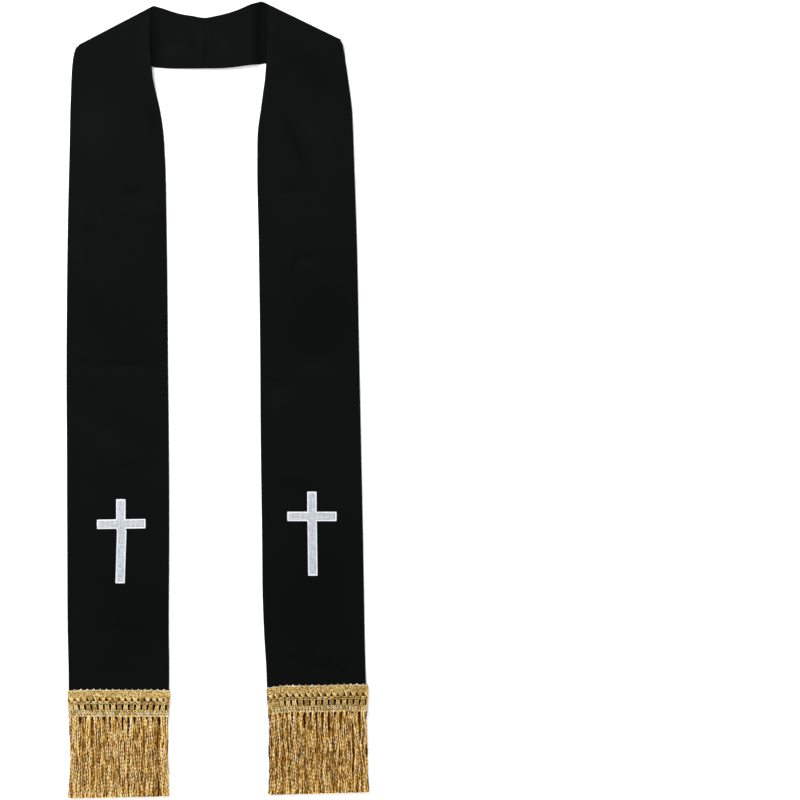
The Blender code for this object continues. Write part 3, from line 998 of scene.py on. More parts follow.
def tangents(points, knots):
    """Slopes of a smooth curve through unevenly spaced points."""
    slopes = [(b - a) / (tb - ta) for a, b, ta, tb in zip(points, points[1:], knots, knots[1:])]
    spans = [tb - ta for ta, tb in zip(knots, knots[1:])]
    inner = [
        (slopes[i - 1] * spans[i] + slopes[i] * spans[i - 1]) / (spans[i - 1] + spans[i])
        for i in range(1, len(slopes))
    ]
    return [slopes[0], *inner, slopes[-1]]


def hermite(a, b, slope_a, slope_b, span, t):
    return (
        a * (1 + 2 * t) * (1 - t) ** 2
        + slope_a * span * t * (1 - t) ** 2
        + b * t * t * (3 - 2 * t)
        + slope_b * span * t * t * (t - 1)
    )


def refine(sections, step):
    """Add sections between the table's, on smooth curves through both edges, no more than step apart."""
    outer = [Vector((s.outer_x, s.outer_y)) for s in sections]
    inner = [Vector((s.inner_x, s.inner_y)) for s in sections]
    lengths = [
        max((outer[i + 1] - outer[i]).length, (inner[i + 1] - inner[i]).length)
        for i in range(len(sections) - 1)
    ]
    knots = [0.0]
    for length in lengths:
        knots.append(knots[-1] + length)
    outer_slopes = tangents(outer, knots)
    inner_slopes = tangents(inner, knots)
    rows = []
    for i, length in enumerate(lengths):
        count = max(1, math.ceil(length / step))
        for k in range(count):
            t = k / count
            rows.append(
                Section(
                    *hermite(outer[i], outer[i + 1], outer_slopes[i], outer_slopes[i + 1], length, t),
                    *hermite(inner[i], inner[i + 1], inner_slopes[i], inner_slopes[i + 1], length, t),
                )
            )
    rows.append(sections[-1])
    return rows


def across(section, fraction):
    """The point of a section at a fraction of its length from the outer edge."""
    return Vector(
        (
            section.outer_x + (section.inner_x - section.outer_x) * fraction,
            section.outer_y + (section.inner_y - section.outer_y) * fraction,
        )
    )


def fold_section(fold, turn, inset):
    """A section of the roll, turn 0 under the cloth and pi on top of it, short of the apex by inset."""
    corner = Vector((fold.outer_x, fold.outer_y))
    apex = Vector((fold.inner_x, fold.inner_y))
    along = (apex - corner).normalized()
    outward = Vector((-along.y, along.x))
    if outward.y < 0:
        outward.negate()
    start = corner - outward * FOLD_RADIUS * (1.0 - math.sin(turn))
    end = start + along * ((apex - corner).length - inset)
    return Section(start.x, start.y, end.x, end.y)


def shoulder_lift(point, fold, neck):
    """How high the panel's underside lies where it passes over the neck band."""
    corner = Vector((fold.outer_x, fold.outer_y))
    crossing = neck[NECK_SECTION_AT_PANEL]
    edge = (Vector((crossing.outer_x, crossing.outer_y)) - corner).normalized()
    down = Vector((edge.y, -edge.x))
    if down.y > 0:
        down.negate()
    beyond = (point - corner).dot(down) - SHOULDER_EASE_START
    return SHOULDER_LIFT * (1.0 - smooth_step(beyond / SHOULDER_EASE))


def above_heading(point, side):
    """How far up from the heading's top edge a point is."""
    fringe = FRINGES[side]
    slope = math.tan(math.radians(fringe.tilt_degrees))
    return point.y - fringe.top_y - slope * (point.x - fringe.left_x)


def hem_lift(point, side):
    """How high the panel's underside lies where it rises onto the heading at its back."""
    above = above_heading(point, side) - 2 * SCALLOP_RISE
    return HEM_LIFT * (1.0 - smooth_step(above / HEM_EASE))


def beside_neck(y):
    """One where the panel crosses the neck band, and nothing away from it."""
    rise = smooth_step((y - EDGE_STAND_RISE_Y) / EDGE_STAND_SPAN)
    return rise * (1.0 - smooth_step((y - EDGE_STAND_FALL_Y) / EDGE_STAND_SPAN))


def edge_stand(point, fraction, side):
    """How much the panel's inner edge stands up and rolls beside the neck band."""
    edge = EDGES[side]
    slope = EDGE_STAND * smooth_step((fraction - EDGE_STAND_FROM) / (1.0 - EDGE_STAND_FROM))
    roll = edge.roll * smooth_step((fraction - edge.roll_from) / (edge.crest - edge.roll_from))
    fall = edge.fall * smooth_step((fraction - edge.crest) / (1.0 - edge.crest))
    return beside_neck(point.y) * (slope + roll - fall)


def crease_height(point, creases):
    total = 0.0
    for crease in creases:
        angle = math.radians(crease.degrees)
        dx = point.x - crease.x
        dy = point.y - crease.y
        along = (dx * math.cos(angle) + dy * math.sin(angle)) / crease.length
        aside = (dy * math.cos(angle) - dx * math.sin(angle)) / crease.width
        total += crease.height * math.exp(-along * along - aside * aside)
    return total


def swell(point):
    """Broad unevenness of cloth that has been folded away and laid out again."""
    place = Vector((point.x, point.y, 0.0)) / SWELL_SIZE
    return SWELL_HEIGHT * (0.5 + 0.5 * noise.noise(place))


def open_panel(point, side):
    """One over most of a panel, dying out at the heading and towards the shoulder fold."""
    shoulder = 1.0 - smooth_step((point.y - EDGE_STAND_FALL_Y) / EDGE_STAND_SPAN)
    return smooth_step(above_heading(point, side) / HEM_EASE) * shoulder


def panel_creases(point, side):
    """How high a panel's creases lift it, or how low where the number is below nothing."""
    return open_panel(point, side) * crease_height(point, PANEL_CREASES[side])


def panel_relief(point, side):
    """How high a panel's creases and swells lift it off the surface under it."""
    return max(0.0, panel_creases(point, side) + open_panel(point, side) * swell(point))


def neck_creases(point):
    """The creases of the neck band, which die out under the panels."""
    free = smooth_step((point.x - NECK_START_X) / NECK_START_SPAN)
    free *= smooth_step((NECK_CREASE_END_X - point.x) / NECK_START_SPAN)
    return free * crease_height(point, NECK_CREASES)


def neck_relief(point):
    """The neck band's billow and creases, its lip by the left panel and the ridges at its seam."""
    start = smooth_step((point.x - NECK_START_X) / NECK_START_SPAN)
    rise = smooth_step((point.x - NECK_LOW_X) / (NECK_CREST_X - NECK_LOW_X))
    end = smooth_step((NECK_END_X - point.x) / (NECK_END_X - NECK_CREST_X))
    billow = (NECK_LOW + (NECK_BILLOW - NECK_LOW) * rise) * start * end
    lip = NECK_LIP * math.exp(-(((point.x - NECK_LIP_X) / NECK_LIP_WIDTH) ** 2)) * beside_neck(point.y)
    away = abs(point.x - SEAM_X) - SEAM_RIDGE_AWAY
    ridge = SEAM_RIDGE_HEIGHT * math.exp(-((away / SEAM_RIDGE_WIDTH) ** 2))
    return max(0.0, billow + lip + ridge + neck_creases(point))


def cloth_rows(side):
    """Rows of points on the cloth's outside, from the hem over the fold to the seam, and their crease
    heights for the painted light and shade.
    """
    panel, fold, neck = HALVES[side]
    fractions = [c / CLOTH_COLUMNS for c in range(CLOTH_COLUMNS + 1)]
    shoulder_index = next(i for i, s in enumerate(panel) if s.outer_y >= SHOULDER_START_Y)
    sections = (
        refine(panel[:shoulder_index + 1], ROW_STEP)[:-1]
        + refine(panel[shoulder_index:] + [fold_section(fold, math.pi, fold.panel_inset)], FOLD_ROW_STEP)
    )
    rows = []
    for section in sections:
        row = []
        for fraction in fractions:
            point = across(section, fraction)
            lift = shoulder_lift(point, fold, neck) + hem_lift(point, side)
            lift += edge_stand(point, fraction, side) + panel_relief(point, side)
            row.append((Vector((*point, WALL + lift)), panel_creases(point, side)))
        rows.append(row)
    for step in range(1, FOLD_STEPS):
        share = step / FOLD_STEPS
        turn = math.pi * (1.0 - share)
        section = fold_section(fold, turn, fold.panel_inset * (1.0 - share))
        height = FOLD_RADIUS * (1.0 - math.cos(turn))
        rows.append([(Vector((*across(section, f), height)), 0.0) for f in fractions])
    for section in refine([fold_section(fold, 0.0, 0.0)] + neck, ROW_STEP):
        row = []
        for fraction in fractions:
            point = across(section, fraction)
            row.append((Vector((*point, neck_relief(point))), neck_creases(point)))
        rows.append(row)
    return rows


def make_cloth(side, material):
    """One half of the stole, with its wall and rounded rims, and its distances for the weave."""
    rows = cloth_rows(side)
    name = f"cloth_{side}"
    mesh = bpy.data.meshes.new(name)
    bm = bmesh.new()
    distance = bm.loops.layers.uv.new("cloth_distance")
    edge = bm.verts.layers.float.new("edge_distance")
    # Crease heights, which the twill turns into painted light on ridges and painted shade in hollows
    painted_shade_layer = bm.verts.layers.float.new("crease_relief")
    middle = CLOTH_COLUMNS // 2
    places = {}
    grid = []
    along = 0.0
    for r, row in enumerate(rows):
        if r:
            along += (row[middle][0] - rows[r - 1][middle][0]).length
        width = (row[-1][0] - row[0][0]).length
        verts = []
        for c, (point, crease) in enumerate(row):
            vert = bm.verts.new(point * MM)
            from_outer = width * c / CLOTH_COLUMNS
            vert[edge] = min(from_outer, width - from_outer) * MM
            vert[painted_shade_layer] = crease
            places[vert] = (from_outer * MM, along * MM)
            verts.append(vert)
        grid.append(verts)
    for lower, upper in zip(grid, grid[1:]):
        for c in range(CLOTH_COLUMNS):
            corners = [lower[c], lower[c + 1], upper[c + 1], upper[c]]
            if side == "right":
                corners.reverse()
            face = bm.faces.new(corners)
            for loop in face.loops:
                loop[distance].uv = places[loop.vert]
    bm.to_mesh(mesh)
    bm.free()
    mesh.shade_smooth()
    mesh.materials.append(material)
    obj = add_object(name, mesh)
    wall = obj.modifiers.new("cloth_wall", "SOLIDIFY")
    wall.thickness = WALL * MM
    wall.offset = -1.0
    rim = obj.modifiers.new("rounded_rim", "BEVEL")
    rim.width = RIM_ROUND * MM
    rim.segments = 2
    rim.limit_method = "ANGLE"
    rim.angle_limit = math.radians(60.0)
    return bake_modifiers(obj)


def bake_modifiers(obj):
    """Put what the modifiers make into the object's own mesh."""
    depsgraph = bpy.context.evaluated_depsgraph_get()
    mesh = bpy.data.meshes.new_from_object(obj.evaluated_get(depsgraph), depsgraph=depsgraph)
    obj.modifiers.clear()
    obj.data = mesh
    mesh.name = obj.name
    return obj


# Crosses

def cross_outline(inset):
    """The cross's outline, moved in by inset, from the top left corner of its post round to the left."""
    half = CROSS_ARM / 2 - inset
    arm = CROSS_WIDTH / 2 - inset
    bar_top = CROSS_ARM / 2 - CROSS_BAR_BELOW_TOP - inset
    bar_bottom = -CROSS_ARM / 2 - CROSS_BAR_BELOW_TOP + inset
    top = -inset
    foot = -CROSS_HEIGHT + inset
    return [
        (-half, top),
        (-half, bar_top),
        (-arm, bar_top),
        (-arm, bar_bottom),
        (-half, bar_bottom),
        (-half, foot),
        (half, foot),
        (half, bar_bottom),
        (arm, bar_bottom),
        (arm, bar_top),
        (half, bar_top),
        (half, top),
    ]


def flat_solid(name, outlines, thickness, material):
    """A closed mesh of a filled outline, with the outlines inside it cut out."""
    curve = bpy.data.curves.new(name, "CURVE")
    curve.dimensions = "2D"
    curve.fill_mode = "BOTH"
    curve.extrude = thickness / 2 * MM
    for outline in outlines:
        spline = curve.splines.new("POLY")
        spline.points.add(len(outline) - 1)
        for point, (x, y) in zip(spline.points, outline):
            point.co = (x * MM, y * MM, 0.0, 1.0)
        spline.use_cyclic_u = True
    holder = add_object(name, curve)
    depsgraph = bpy.context.evaluated_depsgraph_get()
    mesh = bpy.data.meshes.new_from_object(holder.evaluated_get(depsgraph))
    bpy.data.objects.remove(holder, do_unlink=True)
    bm = bmesh.new()
    bm.from_mesh(mesh)
    bmesh.ops.remove_doubles(bm, verts=bm.verts, dist=0.01 * MM)
    bmesh.ops.recalc_face_normals(bm, faces=bm.faces)
    bmesh.ops.triangulate(bm, faces=bm.faces)
    bmesh.ops.translate(bm, verts=bm.verts, vec=(0.0, 0.0, thickness / 2 * MM))
    bm.to_mesh(mesh)
    bm.free()
    mesh.materials.append(material)
    return mesh


def make_path(name, points):
    """A closed line of edges."""
    mesh = bpy.data.meshes.new(name)
    count = len(points)
    edges = [(i, (i + 1) % count) for i in range(count)]
    height = PAD_THICKNESS * BORDER_HEIGHT_SHARE * MM
    mesh.from_pydata([(x * MM, y * MM, height) for x, y in points], edges, [])
    return add_object(name, mesh)


def fill_stitches(tree, unit, area, seed, material):
    """Long stitches side by side that fill a rectangle, upright or level."""
    left, right, bottom, top, upright = area
    length, width = (top - bottom, right - left) if upright else (right - left, top - bottom)
    columns = max(1, round(length / FILL_LENGTH))
    mesh = grow(
        tree,
        {
            "Unit": unit,
            "Columns": columns,
            "Rows": round(width / FILL_PITCH),
            "Column Pitch": length / columns * MM,
            "Row Pitch": FILL_PITCH * MM,
            "Place Jitter": 0.05 * MM,
            "Turn Jitter": 0.012,
            "Size Jitter": 0.03,
            "Seed": seed,
            "Material": material,
        },
    )
    mesh.transform(Matrix.Translation((FILL_LENGTH / 2 * MM, FILL_PITCH / 2 * MM, PAD_THICKNESS * MM)))
    if upright:
        mesh.transform(Matrix.Rotation(math.pi / 2, 4, "Z"))
    mesh.transform(Matrix.Translation(((right if upright else left) * MM, bottom * MM, 0.0)))
    return mesh


def make_embroidery(side, trees, units, materials):
    """A padded cross: long stitches along each arm, and a raised satin-stitch border."""
    cross = CROSSES[side]
    seed = CROSS_SEEDS[side]
    inner = CROSS_ARM / 2 - BORDER_WIDTH
    bar_middle = -CROSS_BAR_BELOW_TOP
    bar_end = CROSS_WIDTH / 2 - BORDER_WIDTH
    path = make_path("border_line", cross_outline(BORDER_WIDTH / 2))
    border = grow(
        trees["path"],
        {
            "Path": path,
            "Unit": units["border_stitch"],
            "Pitch": BORDER_PITCH * MM,
            "Turn Jitter": 0.06,
            "Size Jitter": 0.07,
            "Seed": seed,
            "Material": materials["border"],
        },
    )
    bpy.data.objects.remove(path, do_unlink=True)
    parts = [flat_solid("pad", [cross_outline(PAD_INSET)], PAD_THICKNESS, materials["fill"]), border]
    areas = [
        # left, right, bottom, top, upright
        (-inner, inner, -CROSS_HEIGHT + BORDER_WIDTH, -BORDER_WIDTH, True),
        (-bar_end, -inner, bar_middle - inner, bar_middle + inner, False),
        (inner, bar_end, bar_middle - inner, bar_middle + inner, False),
    ]
    for number, area in enumerate(areas, start=1):
        parts.append(
            fill_stitches(trees["field"], units["fill_stitch"], area, seed + number, materials["fill"])
        )
    obj = join(f"embroidery_{side}", parts)
    bar_bottom = bar_middle - CROSS_ARM / 2
    for vert in obj.data.vertices:
        x, y, z = vert.co / MM
        below = smooth_step((bar_bottom - y) / CROSS_EASE)
        x += below * cross.lower_step
        x += cross.foot_lean * max(0.0, bar_bottom - y) / (CROSS_HEIGHT + bar_bottom)
        beside = smooth_step((abs(x) - CROSS_ARM / 2) / CROSS_EASE)
        y += beside * cross.bar_rise * x / CROSS_WIDTH
        x += beside * cross.short_arm * max(0.0, -x) / (CROSS_WIDTH / 2)
        place = Vector((cross.top_x + x, cross.top_y + y))
        vert.co = Vector((place.x, place.y, WALL + CROSS_GAP + panel_relief(place, side) + z)) * MM
    obj.data.shade_smooth()
    return obj


# Fringe

def heading_outline(fringe):
    """The heading's outline: a scalloped top edge, and straight sides and foot."""
    repeats = round(fringe.width / REPEAT)
    pitch = fringe.width / repeats
    height = SCALLOP_RISE * SCALLOP_PLATE_SHARE
    top = []
    for left in [k * pitch for k in range(repeats)]:
        top.append((left, 0.0))
        top += [(left + pitch * share, height) for share in SCALLOP_SHOULDERS]
    return top + [(fringe.width, 0.0), (fringe.width, -HEADING_HEIGHT), (0.0, -HEADING_HEIGHT)]


def heading_holes(fringe):
    """Slots between the upright bars, a small hole over each, and leaning ones between them."""
    outlines = []
    for k in range(fringe.slots):
        x = fringe.first_slot + k * REPEAT
        uneven = HOLE_UNEVENNESS * noise.noise(Vector((1.7 * k, fringe.left_x, 0.5)))
        worn = noise.noise(Vector((2.3 * k, fringe.top_y, 3.5)))
        wide = 1.0 + uneven
        slot = [
            (x - SLOT_TOP_HALF * wide, SLOT_TOP_Y),
            (x - SLOT_FOOT_HALF + uneven, SLOT_FOOT_Y),
            (x + SLOT_FOOT_HALF + uneven, SLOT_FOOT_Y),
            (x + SLOT_TOP_HALF * wide, SLOT_TOP_Y),
        ]
        small_hole = [
            (x - SMALL_HOLE_TOP_HALF, SMALL_HOLE_TOP_Y - uneven),
            (x - SMALL_HOLE_FOOT_HALF, SMALL_HOLE_FOOT_Y),
            (x + SMALL_HOLE_FOOT_HALF, SMALL_HOLE_FOOT_Y),
            (x + SMALL_HOLE_TOP_HALF, SMALL_HOLE_TOP_Y),
        ]
        outlines += [slot, small_hole]
        peak = x + REPEAT / 2
        inside = k >= fringe.first_peak and peak < fringe.width - LEANING_HOLE_END_MARGIN
        if inside and worn > CLOSED_HOLE_SHARE:
            outlines.append(
                [
                    (peak - 1.4, LEANING_HOLE_FOOT_Y - uneven),
                    (peak + 0.8 * wide, LEANING_HOLE_FOOT_Y),
                    (peak + 0.2 + uneven, LEANING_HOLE_RIGHT_TOP_Y - uneven),
                    (peak - 1.0, LEANING_HOLE_TOP_Y),
                ]
            )
    return outlines


def drawn_in(x, down, width):
    """Where across the heading a point comes to lie once its rows are drawn together."""
    share = 2.0 * x / width - 1.0
    end = share**END_POWER
    pull = DRAWN_IN[-1][1]
    for (above, start), (below, finish) in zip(DRAWN_IN, DRAWN_IN[1:]):
        if down < below:
            pull = start + (finish - start) * max(0.0, down - above) / (below - above)
            break
    step = END_STEPS["left" if share < 0.0 else "right"]
    return x - (share - end) * pull - end * step * smooth_step((down - END_STEP_DOWN) / END_STEP_SPAN)


def bow(side, share):
    """How far up the heading lies off its straight line at this share of its width."""
    table = HEADING_BOWS[side]
    for (before, start), (after, finish) in zip(table, table[1:]):
        if share < after:
            return start + (finish - start) * smooth_step((share - before) / (after - before))
    return table[-1][1]


class ThreadRow(NamedTuple):
    """A row of one unit across the heading: its finish, how far down, its pitch and how uneven it is.

    Even rows fill the width but for the shift at each end, and ends is one unit at each end. Repeats
    keep step with the slots from the left, slots start at the first slot, and closed rows end before it.
    """

    unit: str
    finish: str
    down: float
    pitch: float
    where: str
    shift: float
    turn: float
    size: float


HEADING_ROWS = [
    ThreadRow("edge_loop", "bright", -0.1, REPEAT, "repeats", 4.2, 0.12, 0.12),
    ThreadRow("edge_knot", "bright", 0.0, REPEAT, "repeats", 8.4, 0.2, 0.2),
    ThreadRow("twist", "bright", 0.7, 1.4, "even", 0.5, 0.15, 0.1),
    ThreadRow("plait", "heading", 2.6, 1.6, "even", 0.5, 0.12, 0.12),
    ThreadRow("plait", "heading", 4.8, 1.6, "even", 1.2, 0.12, 0.12),
    ThreadRow("plait", "heading", 7.0, 1.6, "even", 0.6, 0.12, 0.12),
    ThreadRow("plait", "heading", 9.1, 1.6, "even", 1.0, 0.12, 0.12),
    ThreadRow("filling", "heading", ZIGZAG_DOWN, REPEAT, "repeats", REPEAT / 2, 0.03, 0.03),
    ThreadRow("zigzag", "bright", ZIGZAG_DOWN, REPEAT, "repeats", REPEAT / 2, 0.12, 0.10),
    ThreadRow("bridge", "heading", 17.4, REPEAT, "repeats", REPEAT / 2, 0.08, 0.08),
    ThreadRow("twist", "heading", 19.6, 1.5, "even", 0.7, 0.25, 0.15),
    ThreadRow("bar", "heading", SLOT_DOWN, REPEAT, "slots", -REPEAT / 2, 0.04, 0.05),
    ThreadRow("plait", "heading", 22.6, 1.6, "closed", 0.5, 0.12, 0.12),
    ThreadRow("plait", "heading", 25.0, 1.6, "closed", 1.2, 0.12, 0.12),
    ThreadRow("plait", "heading", 27.4, 1.6, "closed", 0.8, 0.12, 0.12),
    ThreadRow("twist", "heading", 29.6, 1.7, "even", 0.6, 0.30, 0.15),
    ThreadRow("chain", "bright", 31.9, REPEAT / 2, "even", 2.0, 0.30, 0.10),
    ThreadRow("chain", "bright", 35.0, REPEAT / 2, "even", 3.0, 0.30, 0.10),
    ThreadRow("wave", "bright", 37.6, REPEAT / 2, "even", 2.0, 0.05, 0.08),
    ThreadRow("selvedge", "heading", 19.4, 0.0, "ends", 0.7, 0.0, 0.0),
]


def thread_units():
    """The small pieces of thread that the heading and the crosses repeat, in millimetres."""
    up = 0.55
    low = 0.2
    # Threads beside each other that run across the space between two zigzags
    fillings = [
        [(1.9, 3.2, 0.1), (3.8, 0.0, 0.3), (5.2, -3.1, 0.1)],
        [(3.1, 3.2, 0.1), (4.7, 0.0, 0.3), (6.1, -3.1, 0.1)],
        [(4.2, 3.2, 0.1), (5.5, 0.4, 0.3), (6.6, -2.8, 0.1)],
        [(5.3, 3.2, 0.1), (6.1, 1.4, 0.3), (6.8, -0.6, 0.1)],
        [(6.5, 3.2, 0.1), (6.9, 2.4, 0.3), (7.2, 1.4, 0.1)],
    ]
    bar_sides = [
        [(s * 1.9, 4.7, low), (s * 2.1, 1.5, 0.45), (s * 2.4, -1.5, 0.45), (s * 2.9, -4.3, low)]
        for s in (-1, 1)
    ]
    border_heights = [(-1.3, -0.25), (-0.9, 0.2), (0.0, 0.36), (0.9, 0.2), (1.3, -0.25)]
    shapes = {
        "edge_loop": [Thread(arc(0.0, -0.5, 1.35, 1.75, -25.0, 205.0, 8, up), 0.62)],
        "edge_knot": [Thread([(-0.9, -0.4, up), (0.0, 0.3, up + 0.1), (0.9, -0.4, up)], 0.5)],
        "twist": [Thread([(-0.85, -0.6, low), (0.0, 0.0, up), (0.85, 0.6, low)], 0.5)],
        "plait": [
            Thread([(-0.9, s * 1.35, 0.15), (-0.2, s * 0.75, up), (0.75, 0.0, 0.3)], 0.5) for s in (1, -1)
        ],
        "zigzag": [Thread([(0.5, 3.5, low), (1.6, 1.2, 0.75), (2.9, -1.2, 0.75), (4.3, -3.3, low)], 0.76)],
        "filling": [Thread(points, 0.47) for points in fillings],
        "bar": [
            Thread(arc(0.0, -0.2, 0.85, 3.4, 0.0, 330.0, 11, 0.5), 0.6, True),
            *[Thread(points, 0.7) for points in bar_sides],
        ],
        "bridge": [
            Thread([(-3.3, -0.9, low), (-1.2, 0.7, 0.5), (1.2, 0.7, 0.5), (3.3, -0.9, low)], 0.6),
            Thread([(-3.0, 0.9, low), (0.0, -0.7, 0.6), (3.0, 0.9, low)], 0.6),
        ],
        "chain": [Thread(arc(0.0, 0.0, 1.35, 1.55, 60.0, 380.0, 10, 0.5), 0.56)],
        "selvedge": [Thread([(0.15 * math.sin(1.3 * k), 18.4 - 1.6 * k, 0.1) for k in range(24)], 0.75)],
        "wave": [
            Thread([(k * REPEAT / 16, up * math.sin(k * math.pi / 4), up) for k in range(-4, 5)], 0.6)
        ],
        "border_stitch": [Thread([(0.0, y, z) for y, z in border_heights], 0.27)],
        "fill_stitch": [
            Thread([(-3.6, 0.0, -0.15), (-3.0, 0.0, 0.06), (3.0, 0.0, 0.06), (3.6, 0.0, -0.15)], 0.27)
        ],
    }
    return {name: make_unit(name, threads) for name, threads in shapes.items()}


def row_span(fringe, row):
    """Where a row's first unit is, how many units it has and how far apart they are."""
    start = row.shift
    end = fringe.width - row.shift
    if row.where == "ends":
        return start, 2, end - start
    if row.where == "repeats":
        start = (fringe.first_slot + row.shift) % REPEAT
        end = fringe.width - ROW_END_MARGIN
    elif row.where == "slots":
        start = fringe.first_slot + row.shift
        end = fringe.width - ROW_END_MARGIN
    elif row.where == "closed":
        end = fringe.first_slot - REPEAT
    if row.where == "even":
        gaps = round((end - start) / row.pitch)
        return start, gaps + 1, (end - start) / gaps
    return start, int((end - start) / row.pitch) + 1, row.pitch


def make_heading_rows(fringe, trees, units, seed, materials):
    """Every row of threads on the heading's face."""
    meshes = []
    for number, row in enumerate(HEADING_ROWS):
        start, count, pitch = row_span(fringe, row)
        mesh = grow(
            trees["field"],
            {
                "Unit": units[row.unit],
                "Columns": count,
                "Rows": 1,
                "Column Pitch": pitch * MM,
                "Row Pitch": 0.0,
                "Place Jitter": 0.12 * MM,
                "Turn Jitter": row.turn,
                "Size Jitter": row.size,
                "Seed": seed + 10 * number,
                "Material": materials[row.finish],
            },
        )
        mesh.transform(Matrix.Translation((start * MM, -row.down * MM, THREAD_BASE_Z * MM)))
        meshes.append(mesh)
    return meshes


class StrandLayer(NamedTuple):
    """A layer of strands: its finish, how many, how finely drawn, how high and how uneven they are.

    Flatness is a strand's thickness as a share of its width, and fullness is how many times its size
    it has at its root.
    """

    finish: str
    strands: int
    points: int
    radius: float
    flatness: float
    fullness: float
    root_z: float
    skirt_z: float
    depth: float
    crimp: float
    drift: float
    gather_length: float
    gather_spread: float


# The lower layers' golds are painted shade: the same strands coloured darker where they lie in the shade of
# the layers above
STRAND_LAYERS = {
    "front": [
        StrandLayer("skirt", 84, 84, 0.82, 0.5, 1.25, 1.05, -0.3, 0.5, 1.5, 3.4, 9.0, 44.0),
        StrandLayer("shaded", 80, 50, 0.84, 0.5, 1.0, 0.30, -1.0, 0.25, 1.4, 3.0, 9.0, 40.0),
        StrandLayer("deep", 112, 32, 1.0, 0.9, 1.0, -0.60, -2.0, 0.15, 0.6, 1.2, 8.5, 1.0),
    ],
    "back": [
        StrandLayer("skirt", 90, 56, 0.80, 0.5, 1.0, 0.75, 0.70, 0.30, 1.0, 1.8, 10.5, 16.0),
        StrandLayer("deep", 90, 32, 0.80, 0.5, 1.0, 0.90, 0.95, 0.15, 0.8, 1.2, 8.5, 3.0),
    ],
}


def make_skirt_layers(side, face, trees, seed, materials):
    """The strands of one fringe, layer by layer."""
    fringe = FRINGES[side]
    meshes = []
    length = fringe.drop - SKIRT_ROOT_DOWN
    for number, layer in enumerate(STRAND_LAYERS[face]):
        mesh = grow(
            trees["skirt"],
            {
                "Strands": layer.strands,
                "Points": layer.points,
                "Width": (fringe.width - 2 * SKIRT_INSET) * MM,
                "Length": length * MM,
                "Length Jitter": 1.2 * MM,
                "Radius": layer.radius * MM,
                "Flatness": layer.flatness,
                "Twist": STRAND_TWIST * MM,
                "Root Height": layer.root_z * MM,
                "Skirt Height": layer.skirt_z * MM,
                "Settle From": (CLOTH_END_DOWN - SKIRT_ROOT_DOWN) * MM,
                "Settle To": (SKIRT_SETTLED_DOWN - SKIRT_ROOT_DOWN) * MM,
                "Depth": layer.depth * MM,
                "Group Pitch": REPEAT * MM,
                "Group Start": (fringe.first_slot - SKIRT_INSET) * MM,
                "Group Seed": seed,
                "Close To": (fringe.close_to - SKIRT_INSET) * MM,
                "Gather": 0.46,
                "Gather Length": layer.gather_length * MM,
                "Gather Spread": layer.gather_spread * MM,
                "Root Fullness": layer.fullness,
                "Root Length": 26.0 * MM,
                "Crimp": layer.crimp * MM,
                "Crimp Size": 7.0 * MM,
                "Drift": layer.drift * MM,
                "Drift Size": 6.0 * MM,
                "Drift Stretch": 6.0,
                "Seed": seed + 100 * number,
                "Material": materials[layer.finish],
            },
        )
        for vert in mesh.vertices:
            x, y, z = vert.co / MM
            share = x / fringe.width
            y *= 1.0 - fringe.foot_rise * share / length
            fall = -y / length
            aside = fringe.lean * fall + fringe.splay * (share - 0.5) * fall * fall
            x = drawn_in(x + SKIRT_INSET, HEADING_HEIGHT, fringe.width) + aside
            y += bow(side, share) * (1.0 - fall) - SKIRT_ROOT_DOWN
            vert.co = Vector((x, y, z)) * MM
        meshes.append(mesh)
    return meshes


def place_fringe(obj, fringe, face):
    """Put a fringe that was made flat at the origin where it is sewn on, the back one face down."""
    mesh = obj.data
    height = FRONT_HEADING_Z
    if face == "back":
        mesh.transform(Matrix.Scale(-1.0, 4, (0.0, 0.0, 1.0)))
        mesh.flip_normals()
        height = HEADING_THICKNESS
    turn = Matrix.Rotation(math.radians(fringe.tilt_degrees), 4, "Z")
    mesh.transform(Matrix.Translation((fringe.left_x * MM, fringe.top_y * MM, height * MM)) @ turn)
    return obj


def make_fringe(side, face, trees, units, materials):
    """A fringe's heading and its skirt, as two pieces."""
    fringe = FRINGES[side]
    seed = FRINGE_SEEDS[side] + FACE_SEEDS[face]
    outlines = [heading_outline(fringe), *heading_holes(fringe)]
    # The plate's dark gold is painted shade between the heading's threads
    plate = flat_solid("plate", outlines, PLATE_THICKNESS, materials["ground"])
    threads = make_heading_rows(fringe, trees, units, seed, materials)
    heading = join(f"heading_{face}_{side}", [plate, *threads])
    for vert in heading.data.vertices:
        x, y, z = vert.co / MM
        place = (drawn_in(x, -y, fringe.width), y + bow(side, x / fringe.width), z)
        vert.co = Vector(place) * MM
    skirt = join(f"skirt_{face}_{side}", make_skirt_layers(side, face, trees, seed, materials))
    return place_fringe(heading, fringe, face), place_fringe(skirt, fringe, face)


# Surroundings

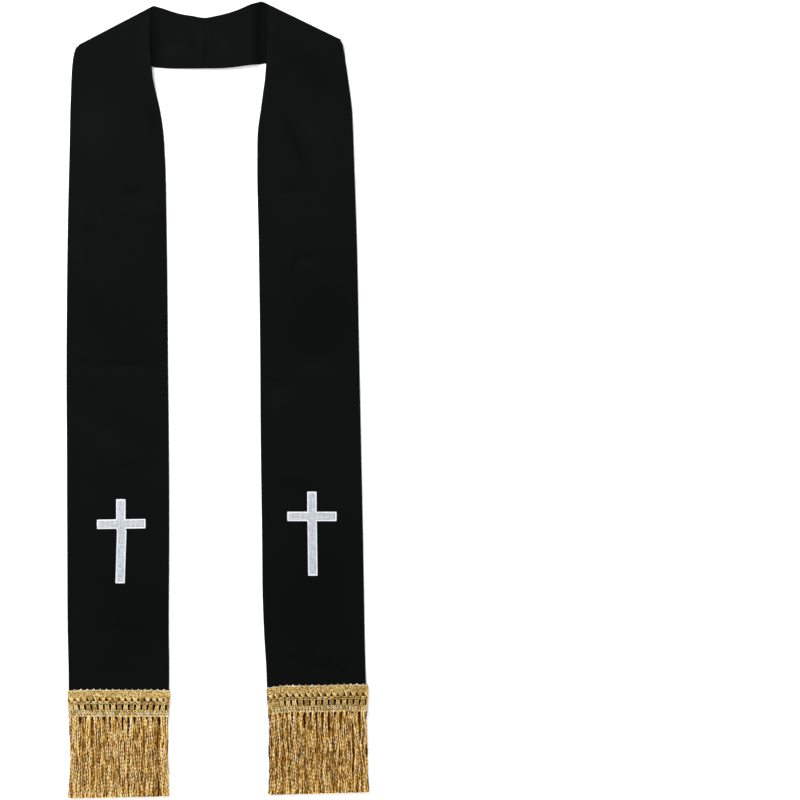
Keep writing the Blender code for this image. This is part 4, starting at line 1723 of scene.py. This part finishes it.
def make_floor():
    half = FLOOR_SIZE / 2 * MM
    mesh = bpy.data.meshes.new("floor")
    corners = [(-half, -half), (half, -half), (half, half), (-half, half)]
    mesh.from_pydata([(x, y, -FLOOR_DEPTH * MM) for x, y in corners], [], [(0, 1, 2, 3)])
    material, tree, shader = new_material("pale_floor")
    finish = {
        "Base Color": (*FLOOR_COLOUR, 1.0),
        "Emission Color": (1.0, 1.0, 1.0, 1.0),
        "Emission Strength": FLOOR_GLOW,
        "Roughness": 0.9,
    }
    set_inputs(tree, shader, finish)
    mesh.materials.append(material)
    floor = add_object("floor", mesh)


def make_camera():
    data = bpy.data.cameras.new("camera")
    data.sensor_width = SENSOR_WIDTH
    data.lens = SENSOR_WIDTH * CAMERA_HEIGHT / FRAME_WIDTH
    camera = add_object("camera", data)
    camera.location = (FRAME_MIDDLE_X * MM, FRAME_MIDDLE_Y * MM, CAMERA_HEIGHT * MM)
    bpy.context.scene.camera = camera


def make_lights():
    target = Vector((FRAME_MIDDLE_X, FRAME_MIDDLE_Y, 0.0)) * MM
    for name, light in LIGHTS.items():
        data = bpy.data.lights.new(name, "AREA")
        data.size = light.size * MM
        data.energy = light.watts
        lamp = add_object(name, data)
        lamp.location = Vector((light.x, light.y, light.z)) * MM
        lamp.rotation_euler = (target - lamp.location).to_track_quat("-Z", "Y").to_euler()
    world = bpy.data.worlds.new("soft_white_room")
    world.use_nodes = True
    background = world.node_tree.nodes["Background"]
    background.inputs["Color"].default_value = (1.0, 1.0, 1.0, 1.0)
    background.inputs["Strength"].default_value = SKY_STRENGTH
    bpy.context.scene.world = world
    bpy.context.scene.view_settings.view_transform = "Standard"


def main():
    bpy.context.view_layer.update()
    make_floor()
    make_camera()
    make_lights()
    materials = make_materials()
    trees = {
        "field": make_field_tree(),
        "path": make_path_tree(),
        "skirt": make_skirt_tree(),
    }
    units = thread_units()
    for side in ("left", "right"):
        cloth = make_cloth(side, materials["twill"])
        embroidery = make_embroidery(side, trees, units, materials)
        sewn_on = [embroidery]
        for face in ("front", "back"):
            heading, skirt = make_fringe(side, face, trees, units, materials)
            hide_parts(f"fringe_{face}_{side}")
            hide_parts(f"fringe_{face}_{side}")
            sewn_on += [heading, skirt]
        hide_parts(f"half_{side}")
        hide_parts(f"cross_{side}")
        for piece in [cloth, *sewn_on]:
            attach(piece, "root")
    for unit in units.values():
        bpy.data.objects.remove(unit, do_unlink=True)


main()
